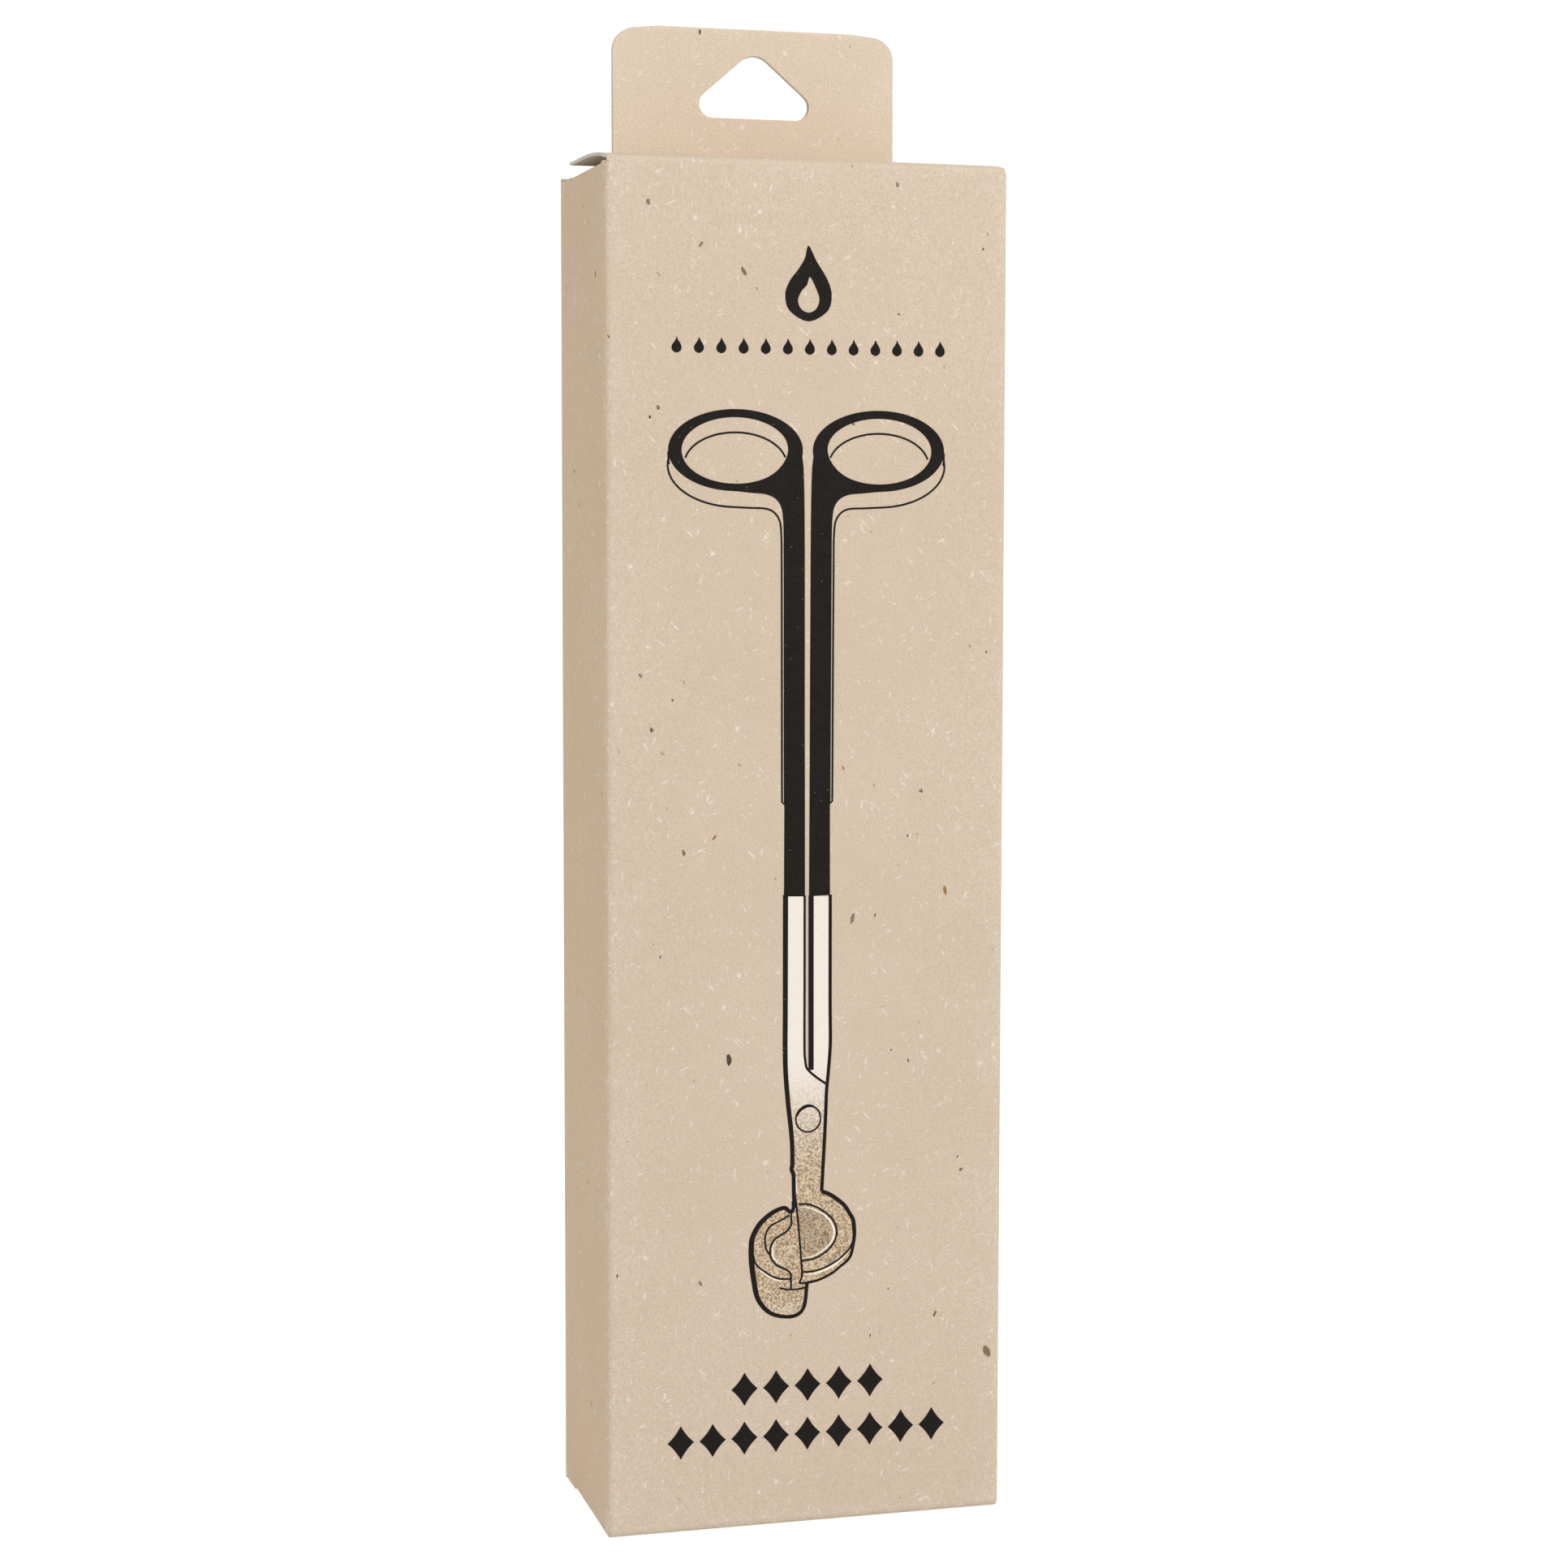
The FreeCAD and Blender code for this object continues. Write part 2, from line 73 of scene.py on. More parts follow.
joints = {joint["name"]: joint for joint in frame["joints"]}
front_lo, front_hi = box_mm("front_panel")
HALF_W = front_hi[0]
FRONT_Y = front_lo[1]
_, (_, BACK_Y, HEIGHT) = box_mm("back_panel")

BOARD_T = 0.5
PLY_GAP = 0.05        # between two boards lying on each other
FOLD_R = 1.15         # outer radius of a fold
TOP_RISE = 0.20       # the sprung top fold stands this far above the fold line
TUCK_TURN = math.radians(75.0)

TOP_TUCK = joint_yz("top_tuck_crease")
BOTTOM_TUCK = joint_yz("bottom_tuck_crease")
LID_TILT = math.atan2(TOP_TUCK[1] - HEIGHT, TOP_TUCK[0] - FRONT_Y)
LID_DIR = (math.cos(LID_TILT), math.sin(LID_TILT))
LID_LEN = math.hypot(TOP_TUCK[1] - HEIGHT, TOP_TUCK[0] - FRONT_Y)
LID_X = box_mm("top_closure_panel")[1][0]
TUCK_X = box_mm("top_tuck_flap")[1][0]
TUCK_LEN = 12.0

dust_lo, dust_hi = box_mm("top_dust_flap_left")
DUST_FRONT = dust_lo[1]
DUST_BACK = dust_hi[1]
DUST_LEN = dust_hi[0] + HALF_W
DUST_TOP_Z = dust_hi[2]
DUST_BOTTOM_Z = box_mm("bottom_dust_flap_left")[0][2]
DUST_FOLD_R = 0.8

TAB_X, _, TAB_TOP = box_mm("hang_tab_back_ply")[1]
TAB_FOLD_R = (2 * BOARD_T + PLY_GAP) / 2


# ------------------------------------------------------------------ shader node helpers
class Nodes:
    """Short calls for building a shader node tree."""

    def __init__(self, tree):
        self.tree = tree
        tree.nodes.clear()

    def fill_inputs(self, node, inputs):
        for key, value in inputs.items():
            if isinstance(value, bpy.types.NodeSocket):
                self.tree.links.new(value, node.inputs[key])
            else:
                node.inputs[key].default_value = value

    def node(self, kind, inputs=None, **settings):
        node = self.tree.nodes.new(kind)
        for key, value in settings.items():
            setattr(node, key, value)
        self.fill_inputs(node, inputs or {})
        return node

    def math(self, operation, a, b, c=None, clamp=False):
        inputs = {i: v for i, v in enumerate((a, b, c)) if v is not None}
        node = self.node("ShaderNodeMath", inputs, operation=operation, use_clamp=clamp)
        return node.outputs[0]

    def times(self, a, b, clamp=False):
        return self.math("MULTIPLY", a, b, clamp=clamp)

    def times_plus(self, a, b, c, clamp=False):
        return self.math("MULTIPLY_ADD", a, b, c, clamp)


class Material(Nodes):
    """A new Principled material; its textures are laid out in object millimetres."""

    def __init__(self, name):
        self.material = bpy.data.materials.new(name)
        self.material.use_nodes = True
        super().__init__(self.material.node_tree)
        self.surface = self.node("ShaderNodeBsdfPrincipled")
        self.node("ShaderNodeOutputMaterial", {0: self.surface.outputs[0]})
        self.mm = self.node("ShaderNodeTexCoord").outputs["Object"]
        self.mm = self.mapped(scale=(1000, 1000, 1000))

    def done(self, inputs):
        self.fill_inputs(self.surface, inputs)
        return self.material

    def mapped(self, scale=(1, 1, 1), turn=(0, 0, 0), shift=(0, 0, 0), vector=None):
        return self.node("ShaderNodeMapping", {"Vector": vector or self.mm, "Location": shift,
                                               "Rotation": turn, "Scale": scale}).outputs[0]

    def noise(self, scale, detail=2.0, rough=0.5, vector=None, output="Fac"):
        return self.node("ShaderNodeTexNoise", {
            "Vector": vector or self.mm, "Scale": scale, "Detail": detail,
            "Roughness": rough}).outputs[output]

    def ramp(self, value, span, to=(0.0, 1.0)):
        """Smooth step of value over span, carried to the range `to`."""
        return self.node("ShaderNodeMapRange", {
            0: value, 1: span[0], 2: span[1], 3: to[0], 4: to[1]},
            interpolation_type="SMOOTHSTEP").outputs[0]

    def mix(self, factor, a, b):
        a, b = (v + (1,) if isinstance(v, tuple) else v for v in (a, b))
        return self.node("ShaderNodeMix", {0: factor, 6: a, 7: b}, data_type="RGBA").outputs[2]

    def lay(self, base, mask, colour, amount):
        """Colour over base, where the mask is, at a strength of amount."""
        return self.mix(self.times(mask, amount), base, colour)

    def bump(self, height, strength, depth_m, normal=None):
        inputs = {"Height": height, "Strength": strength, "Distance": depth_m}
        if normal:
            inputs["Normal"] = normal
        return self.node("ShaderNodeBump", inputs).outputs[0]

    def chips(self, cell, density, radius, stretch=(1, 1, 1), turn=(0, 0, 0), shift=(0, 0, 0),
              soft=0.35, wobble=0.25):
        """Random chips in a share `density` of cells; radius and wobble are shares of a cell."""
        # turned first, then drawn out
        vector = self.mapped(stretch, shift=shift, vector=self.mapped(turn=turn))
        shake = self.noise(scale=1.7 / cell * 4, detail=2, vector=vector, output="Color")
        vector = self.node("ShaderNodeVectorMath", {0: shake, 1: (wobble * cell,) * 3, 2: vector},
                           operation="MULTIPLY_ADD").outputs[0]
        cells = self.node("ShaderNodeTexVoronoi", {"Vector": vector, "Scale": 1.0 / cell}).outputs
        random = self.node("ShaderNodeSeparateColor", {0: cells["Color"]}).outputs
        chosen = self.math("LESS_THAN", random[0], density)
        size = self.times_plus(random[1], radius * 0.9, radius * 0.35)
        share = self.math("DIVIDE", cells["Distance"], size)
        edge = self.math("SUBTRACT", 1.0, share, clamp=True)
        return self.times(chosen, self.ramp(edge, span=(0.0, soft)))


def scaled(colour, factor):
    return tuple(min(1.0, v * factor) for v in colour)


# ------------------------------------------------------------------ materials
# turn and stretch of the pale fibres in the board
FIBRES = (
    ((0, 0.45, 0.15), (0.20, 1, 1)),
    ((0.1, 1.35, 0), (0.24, 1, 1)),
    ((0, 2.35, 0.1), (0.18, 1, 1)),
    ((0.7, 0, 0.1), (1, 0.22, 1)),
    ((2.2, 0.1, 0), (1, 0.20, 1)),
)


def board(name, tan_a, tan_b, pale=(0.90, 0.84, 0.75), white=1.0, dark=1.0):
    """Recycled board; white and dark scale how many pale and dark chips it holds."""
    net = Material(name)
    big = net.noise(scale=0.035, detail=3, rough=0.55)
    mid = net.noise(scale=0.35, detail=3, rough=0.6)
    fine = net.noise(scale=3.2, detail=3, rough=0.7)
    grain = net.noise(scale=9.0, detail=2, rough=0.6)
    col = net.mix(net.ramp(big, span=(0.3, 0.7)), tan_a, tan_b)
    col = net.lay(col, net.ramp(mid, span=(0.35, 0.75)), scaled(tan_a, 1.06), amount=0.30)
    col = net.lay(col, net.ramp(fine, span=(0.42, 0.60)), scaled(tan_b, 0.84), amount=0.60)
    col = net.lay(col, net.ramp(grain, span=(0.52, 0.68)), scaled(tan_a, 1.24), amount=0.40)
    # short pale fibres, then pale dots
    for k, (turn, stretch) in enumerate(FIBRES):
        fibres = net.chips(cell=0.86, density=0.26 * white, radius=0.21, stretch=stretch,
                           turn=turn, shift=(3.1 * k, 7.7 * k, 1.3 * k), soft=0.5, wobble=0.55)
        col = net.lay(col, fibres, pale, amount=0.60)
    dots = net.chips(cell=3.0, density=0.32 * white, radius=0.155, turn=(0.2, 0.1, 0.3),
                     shift=(11, 3, 5), soft=0.6, wobble=0.3)
    col = net.lay(col, dots, pale, amount=0.70)
    # brown, black and rust chips, and grey smudges
    brown = net.chips(cell=2.2, density=0.14 * dark, radius=0.12, stretch=(1, 1, 0.6),
                      turn=(0.5, 0.3, 0.1), shift=(5, 9, 2), soft=0.5, wobble=0.3)
    col = net.lay(col, brown, (0.30, 0.20, 0.11), amount=0.55)
    black = net.chips(cell=4.0, density=0.20 * dark, radius=0.085, stretch=(1, 1, 0.75),
                      turn=(0.7, 0.2, 0.9), shift=(2, 4, 8), soft=0.45)
    col = net.lay(col, black, (0.07, 0.05, 0.035), amount=0.85)
    rust = net.chips(cell=11.0, density=0.30 * dark, radius=0.055, stretch=(1, 1, 0.5),
                     turn=(0.2, 0.5, 0.4), shift=(1, 3, 6), soft=0.3, wobble=0.1)
    col = net.lay(col, rust, (0.17, 0.09, 0.035), amount=0.85)
    smudge = net.chips(cell=8.0, density=0.30 * dark, radius=0.085, stretch=(1, 1, 0.6),
                       turn=(0.9, 0.2, 0.3), shift=(9, 1, 3), soft=0.9, wobble=0.2)
    col = net.lay(col, smudge, (0.33, 0.27, 0.2), amount=0.35)
    # worn, fluffed fibre where the mesh says the board is creased
    wear = net.node("ShaderNodeAttribute", attribute_name="wear").outputs["Fac"]
    fuzz = net.noise(scale=2.6, detail=4, rough=0.75, vector=net.mapped((1, 1, 0.35)))
    fine_fuzz = net.noise(scale=7.0, detail=3, rough=0.8,
                          vector=net.mapped((1, 1, 0.25), turn=(0.4, 0.2, 0)))
    tufts = net.chips(cell=0.55, density=0.75, radius=0.30, stretch=(1, 1, 0.6),
                      turn=(0.2, 0.1, 0.2), shift=(6, 2, 9), soft=0.6, wobble=0.5)
    fluff = net.ramp(net.times_plus(fine_fuzz, 0.55, fuzz), span=(0.74, 0.98))
    worn = net.times(wear, fluff, clamp=True)
    worn = net.times_plus(net.times(wear, tufts), 0.80, net.times(worn, 0.70), clamp=True)
    # relief: fibre stands up, black chips sink in
    height = net.times_plus(fine, 0.6, net.times(grain, 0.4))
    height = net.times_plus(worn, 0.9, height)
    height = net.times_plus(black, -0.4, height)
    swell = net.bump(mid, strength=0.25, depth_m=0.00025)
    return net.done({
        "Base Color": net.mix(worn, col, (0.93, 0.89, 0.83)),
        "Roughness": net.ramp(fine, span=(0.2, 0.8), to=(0.78, 0.95)),
        "Specular IOR Level": 0.22,
        "Normal": net.bump(height, strength=0.35, depth_m=0.00006, normal=swell)})


def chip_mat(name, colour_a, colour_b):
    net = Material(name)
    mottle = net.noise(scale=4.0, detail=3, rough=0.7)
    return net.done({
        "Base Color": net.mix(net.ramp(mottle, span=(0.35, 0.65)), colour_a, colour_b),
        "Roughness": net.ramp(mottle, span=(0.3, 0.7), to=(0.7, 0.9)),
        "Specular IOR Level": 0.2,
        "Normal": net.bump(mottle, strength=0.3, depth_m=0.00004)})


def ink():
    net = Material("black_print_ink")
    fine = net.noise(scale=6.0, detail=3, rough=0.75)
    mid = net.noise(scale=0.5, detail=2)
    misses = net.chips(cell=1.0, density=0.22, radius=0.12, soft=0.5)
    col = net.mix(net.ramp(fine, span=(0.35, 0.8)), (0.006, 0.0045, 0.004),
                  (0.024, 0.018, 0.014))
    return net.done({
        "Base Color": net.lay(col, misses, (0.32, 0.27, 0.21), amount=0.45),
        "Roughness": net.ramp(mid, span=(0.3, 0.7), to=(0.55, 0.7)),
        "Specular IOR Level": 0.16,
        "Normal": net.bump(fine, strength=0.4, depth_m=0.00003)})


def foil(name, shade=1.0):
    """Champagne foil stamped over board: bright high up and at its foot, deep between."""
    net = Material(name)
    fine = net.noise(scale=5.0, detail=4, rough=0.8)
    speck = net.noise(scale=11.0, detail=2, rough=0.6)
    grit = net.noise(scale=3.4, detail=4, rough=0.85)
    z = net.node("ShaderNodeSeparateXYZ", {0: net.mm}).outputs[2]
    upper = net.ramp(z, span=(53.0, 76.0))
    foot = net.times(net.ramp(z, span=(37.5, 34.0)), 0.55)
    light = net.mix(net.ramp(net.times_plus(speck, 0.5, grit), span=(0.55, 0.95)),
                    (0.94, 0.845, 0.745), (1.0, 0.945, 0.87))
    deep = net.mix(net.ramp(grit, span=(0.42, 0.58)), scaled((0.26, 0.165, 0.085), shade),
                   scaled((0.93, 0.73, 0.51), shade))
    deep = net.lay(deep, net.ramp(fine, span=(0.54, 0.62)), (1.0, 0.88, 0.72),
                   amount=0.7 * shade * shade)
    veil = net.lay((0.52, 0.38, 0.26), net.ramp(grit, span=(0.43, 0.56)), (1.0, 0.89, 0.77),
                   amount=0.95)
    shine = net.math("MAXIMUM", upper, foot)
    return net.done({
        "Base Color": net.mix(shine, deep, net.mix(upper, veil, light)),
        "Metallic": net.times_plus(shine, -0.40, 0.55),
        "Roughness": net.ramp(fine, span=(0.3, 0.7), to=(0.34, 0.58)),
        "Normal": net.bump(net.times_plus(speck, 0.5, fine), strength=0.55, depth_m=0.00005)})


def coat():
    net = Material("soft_black_coat")
    fine = net.noise(scale=4.0, detail=4, rough=0.7)
    tiny = net.noise(scale=14.0, detail=2, rough=0.6)
    big = net.noise(scale=0.06, detail=2)
    col = net.mix(net.ramp(big, span=(0.3, 0.7)), (0.012, 0.012, 0.013), (0.022, 0.021, 0.022))
    col = net.lay(col, net.ramp(tiny, span=(0.6, 0.8)), (0.05, 0.05, 0.052), amount=0.3)
    return net.done({
        "Base Color": col,
        "Roughness": net.ramp(fine, span=(0.3, 0.7), to=(0.42, 0.56)),
        "Sheen Weight": 0.03,
        "Specular IOR Level": 0.34,
        "Normal": net.bump(net.times_plus(tiny, 0.6, fine), strength=0.18, depth_m=0.00004)})


def gold(name, colour_a, colour_b, rough, grain=(1, 1, 0.06)):
    """Brushed metal, its brush marks drawn out by the scale grain."""
    net = Material(name)
    brush = net.noise(scale=9.0, detail=4, rough=0.7, vector=net.mapped(grain))
    big = net.noise(scale=0.08, detail=2)
    smut = net.noise(scale=0.6, detail=4, rough=0.6)
    col = net.mix(net.ramp(big, span=(0.3, 0.7)), colour_a, colour_b)
    col = net.lay(col, net.ramp(brush, span=(0.5, 0.75)), scaled(colour_a, 1.12), amount=0.10)
    col = net.lay(col, net.ramp(smut, span=(0.6, 0.8)), scaled(colour_b, 0.8), amount=0.10)
    return net.done({
        "Base Color": col,
        "Metallic": 1.0,
        "Roughness": net.ramp(brush, span=(0.25, 0.75), to=(rough - 0.07, rough + 0.1)),
        "Anisotropic": 0.4,
        "Normal": net.bump(brush, strength=0.14, depth_m=0.00003)})


PALE_INSIDE = (0.90, 0.87, 0.82)
M_FRONT = board("kraft_front", (0.735, 0.605, 0.475), (0.700, 0.570, 0.440))
M_SIDE = board("kraft_side", (0.770, 0.605, 0.432), (0.735, 0.568, 0.396))
M_KRAFT = board("kraft_outside", (0.73, 0.598, 0.462), (0.695, 0.562, 0.428))
# the tab is the same kraft, painted lighter than the outside board: painted light for the light
# the closure keeps off the tab
M_TAB_PAINTED_LIGHT = board("kraft_tab_painted_light", (0.790, 0.665, 0.535), (0.755, 0.63, 0.500), dark=0.7)
# the board's own inner face, painted lighter than the outside kraft: painted light for the shaded
# undersides of the closures
M_INSIDE_PAINTED_LIGHT = board("board_inside_painted_light", (0.83, 0.705, 0.58), (0.78, 0.655, 0.53),
                 pale=PALE_INSIDE, white=1.2, dark=1.2)
M_EDGE = board("board_cut_edge", (0.74, 0.70, 0.63), (0.66, 0.62, 0.56),
               pale=PALE_INSIDE, white=1.2, dark=0.6)
M_GLINT = chip_mat("foil_glint", (0.95, 0.86, 0.74), (1.0, 0.94, 0.85))
M_CHIP = chip_mat("brown_chip", (0.30, 0.13, 0.035), (0.40, 0.22, 0.09))
M_CHIP_GREY = chip_mat("grey_chip", (0.20, 0.15, 0.10), (0.33, 0.26, 0.19))
M_CHIP_DARK = chip_mat("dark_chip", (0.055, 0.038, 0.026), (0.13, 0.09, 0.06))
M_INK = ink()
M_FOIL = foil("gold_foil")
M_COAT = coat()
M_FOIL_DISH = foil("gold_foil_dish", shade=0.80)
M_GOLD = gold("champagne_gold", (0.86, 0.62, 0.41), (0.80, 0.565, 0.365), rough=0.22)
M_CUP = gold("champagne_gold_cup", (0.86, 0.63, 0.43), (0.79, 0.565, 0.375), rough=0.19,
             grain=(1, 0.08, 1))
M_PIN = gold("champagne_gold_pin", (0.82, 0.59, 0.39), (0.74, 0.52, 0.33), rough=0.15,
             grain=(0.5, 1, 0.5))

# ------------------------------------------------------------------ shape helpers
SWELL_HALF_DEPTH = 17.0


def smooth01(x):
    x = max(0.0, min(1.0, x))
    return x * x * (3 - 2 * x)


def warp(point):
    """The sleeve's gentle swell between its folds; nothing at its top and bottom."""
    x, y, z = point
    middle = HEIGHT / 2
    rise = 1 - ((z - middle) / middle) ** 4 if 0 < z < HEIGHT else 0.0
    wobble = 0.06 * noise.noise(Vector((x * 0.03, y * 0.05, z * 0.035)))
    across, deep = x / HALF_W, y / SWELL_HALF_DEPTH
    swell_y = (0.20 + wobble) * deep ** 3 * (1 - min(1.0, across ** 2)) * rise
    swell_x = (0.16 + wobble) * across ** 3 * (1 - min(1.0, deep ** 2)) * rise
    return (x + swell_x, y + swell_y, z)


def rounded(points, radii, steps=8):
    """Polygon with its corners rounded; a radius of 0 keeps a corner sharp."""
    out = []
    for i, (point, radius) in enumerate(zip(points, radii)):
        if radius <= 0:
            out.append(point)
            continue
        corner = Vector(point)
        to_last = (Vector(points[i - 1]) - corner).normalized()
        to_next = (Vector(points[(i + 1) % len(points)]) - corner).normalized()
        half = to_last.angle(to_next) / 2
        start = corner + to_last * (radius / math.tan(half))
        end = corner + to_next * (radius / math.tan(half))
        c = corner + (to_last + to_next).normalized() * (radius / math.sin(half))
        first = math.atan2(start.y - c.y, start.x - c.x)
        last = math.atan2(end.y - c.y, end.x - c.x)
        sweep = (last - first + math.pi) % (2 * math.pi) - math.pi
        for k in range(steps + 1):
            angle = first + sweep * k / steps
            out.append((c.x + radius * math.cos(angle), c.y + radius * math.sin(angle)))
    return out


def cuts_between(a, b, step):
    n = max(1, int(round((b - a) / step)))
    return [a + (b - a) * i / n for i in range(1, n)]


def filled(loops, merge):
    """Flat mesh inside the first loop and outside the others; points nearer than merge join."""
    bm = bmesh.new()
    for loop in loops:
        clean = []
        for point in loop:
            if not clean or (Vector(point) - Vector(clean[-1])).length > merge:
                clean.append(point)
        if (Vector(clean[0]) - Vector(clean[-1])).length < merge:
            clean.pop()
        verts = [bm.verts.new((p[0], p[1], 0)) for p in clean]
        for i in range(len(verts)):
            bm.edges.new((verts[i], verts[(i + 1) % len(verts)]))
    bmesh.ops.triangle_fill(bm, use_beauty=True, use_dissolve=False, edges=bm.edges[:],
                            normal=(0, 0, 1))
    return bm


def cut(bm, axis, cuts):
    normal = [0, 0, 0]
    normal[axis] = 1
    for place in cuts:
        bmesh.ops.bisect_plane(bm, geom=bm.verts[:] + bm.edges[:] + bm.faces[:], dist=1e-6,
                               plane_co=[place * n for n in normal], plane_no=normal)


def extruded(bm):
    """Doubles the flat faces into a slab and returns the vertices of the new side."""
    geom = bmesh.ops.extrude_face_region(bm, geom=bm.faces[:])["geom"]
    return {item for item in geom if isinstance(item, bmesh.types.BMVert)}


def face_outwards(bm):
    if bm.calc_volume(signed=True) < 0:
        bmesh.ops.reverse_faces(bm, faces=bm.faces[:])


def new_object(name, bm, materials):
    mesh = bpy.data.meshes.new(name)
    bm.to_mesh(mesh)
    bm.free()
    ob = bpy.data.objects.new(name, mesh)
    bpy.context.scene.collection.objects.link(ob)
    for material in materials:
        mesh.materials.append(material)
    return ob


def sheet(name, outline, place, outside, holes=(), u_cuts=(), v_cuts=(), wear=None,
          sharp_deg=40):
    """A board: outline in (u, v), outer face at w 0 and inner face at w -BOARD_T.

    place(u, v, w) carries it to the sleeve's frame, wear(u, v) says how worn it is.
    """
    bm = filled([outline, *holes], merge=1e-5)
    cut(bm, 0, u_cuts)
    cut(bm, 1, v_cuts)
    bmesh.ops.recalc_face_normals(bm, faces=bm.faces[:])
    for face in bm.faces:
        if face.normal.z < 0:
            face.normal_flip()
    outer = extruded(bm)
    for vert in bm.verts:
        vert.co.z = 0.0 if vert in outer else -BOARD_T
    bmesh.ops.recalc_face_normals(bm, faces=bm.faces[:])
    bm.normal_update()
    for face in bm.faces:
        face.smooth = True
        face.material_index = 0 if face.normal.z > 0.5 else (1 if face.normal.z < -0.5 else 2)
    layer = bm.verts.layers.float.new("wear")
    for vert in bm.verts:
        u, v, w = vert.co
        vert[layer] = wear(u, v) if wear else 0.0
        vert.co = Vector(place(u, v, w)) * MM
    face_outwards(bm)
    ob = new_object(name, bm, (outside, M_INSIDE_PAINTED_LIGHT, M_EDGE))
    ob.data.set_sharp_from_angle(angle=math.radians(sharp_deg))
    return ob


def attach(ob, body, node=None):
    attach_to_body(ob, body)
    if node:
        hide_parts(node)


def edge_noise(along, seed):
    return (0.55 + 0.75 * noise.noise(Vector((along * 0.09, seed, 0.3)))
            + 0.5 * noise.noise(Vector((along * 0.31, seed, 1.7))))


def rim_wear(distance, reach, amount, along, seed):
    """Uneven wear that fades out at `reach` from an edge."""
    return smooth01(1 - distance / reach) * amount * edge_noise(along, seed)


class Fold:
    """The bend between two boards whose outer faces would meet at corner, in a 2D section."""

    def __init__(self, corner, dir_a, dir_b, radius=FOLD_R):
        corner = Vector(corner)
        dir_a, dir_b = Vector(dir_a).normalized(), Vector(dir_b).normalized()
        half = dir_a.angle(dir_b) / 2
        self.radius = radius
        self.setback = radius / math.tan(half)      # from the corner to where the bend starts
        self.centre = corner + (dir_a + dir_b).normalized() * (radius / math.sin(half))
        self.start = corner + dir_a * self.setback
        self.end = corner + dir_b * self.setback
        first, last = self.start - self.centre, self.end - self.centre
        self.angle = math.atan2(first.y, first.x)
        turn = math.atan2(last.y, last.x) - self.angle
        self.sweep = (turn + math.pi) % (2 * math.pi) - math.pi
        self.length = abs(self.sweep) * radius

    def at(self, share, w):
        angle = self.angle + self.sweep * share
        reach = self.radius + w
        return self.centre.x + reach * math.cos(angle), self.centre.y + reach * math.sin(angle)


def crease(name, fold, half_u, outside=M_KRAFT, seed=0.0,
           strength=0.8, mid_u=0.0, to_space=lambda u, y, z: (u, y, z)):
    """The strip of board round a fold between two bodies; u runs along the fold."""
    u0, u1 = mid_u - half_u, mid_u + half_u
    length = fold.length

    def place(u, v, w):
        return to_space(u, *fold.at(v / length, w))

    def wear(u, v):
        ridge = strength * edge_noise(u, seed) * math.sin(math.pi * v / length)
        return max(0.0, ridge + 0.5 * smooth01(1 - min(u - u0, u1 - u) / 1.5))

    ob = sheet(name, [(u0, 0), (u1, 0), (u1, length), (u0, length)], place, outside,
               u_cuts=cuts_between(u0, u1, 2.0), v_cuts=[length * i / 7 for i in range(1, 7)],
               wear=wear, sharp_deg=60)
    Vector(to_space(mid_u, *fold.start)) * MM
    Vector(to_space(mid_u, *fold.end)) * MM
    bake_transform(ob)


# ------------------------------------------------------------------ sleeve walls
EIGHTH = FOLD_R * math.pi / 4         # arc length of half a corner
QUARTER = FOLD_R * math.pi / 2
FRONT_FLAT = HALF_W - FOLD_R          # half the flat width of the front and back
SIDE_FLAT = -FRONT_Y - FOLD_R         # half the flat depth of a side wall
RAW_X = -HALF_W + 0.25                # cut left edge of the back board
INNER_BACK_Y = BACK_Y - BOARD_T - PLY_GAP
LEFT_FLAT = INNER_BACK_Y - FOLD_R     # the left wall turns in under the back board here

top_fold = Fold((FRONT_Y, HEIGHT + TOP_RISE), (0, -1), LID_DIR)
bottom_fold = Fold((FRONT_Y, 0), (0, 1), (1, 0))
level_cuts = cuts_between(0, HEIGHT, 4.3)
side_levels = [z for z in level_cuts if 2.2 < z < HEIGHT - 2.2] + [1.9, HEIGHT - 1.9]


def bent(u, w, flat_lo, flat_hi):
    """A wall flat from -flat_lo to flat_hi and bent beyond: place along, depth inwards."""
    if u > flat_hi:
        angle = (u - flat_hi) / FOLD_R
        return flat_hi + (FOLD_R + w) * math.sin(angle), FOLD_R - (FOLD_R + w) * math.cos(angle)
    if u < -flat_lo:
        angle = (-u - flat_lo) / FOLD_R
        return -flat_lo - (FOLD_R + w) * math.sin(angle), FOLD_R - (FOLD_R + w) * math.cos(angle)
    return u, -w


def low_corner(flat):
    return [-flat - EIGHTH * 0.66, -flat - EIGHTH * 0.33, -flat]


def high_corner(flat):
    return [flat, flat + EIGHTH * 0.33, flat + EIGHTH * 0.66]


def wall_wear(u0, u1, z0, z1, seed, amount=0.9):
    """Wear down both side folds, along top and bottom, and most at the corners."""
    def wear(u, v):
        worn = 0.0
        for distance, side_seed in ((u - u0, seed), (u1 - u, seed + 4.0)):
            reach = 2.6 + 1.1 * noise.noise(Vector((v * 0.06, side_seed, 0)))
            worn = max(worn, rim_wear(distance, reach, amount, v, side_seed))
        cap = rim_wear(min(v - z0, z1 - v), 1.6, 0.75, u, seed + 9)
        corner = min(u - u0, u1 - u) + min(v - z0, z1 - v)
        patch = max(0.35, edge_noise(u * 3 + v, seed + 13))
        return max(worn, cap, smooth01(1 - corner / 9.0) * 1.15 * patch)
    return wear


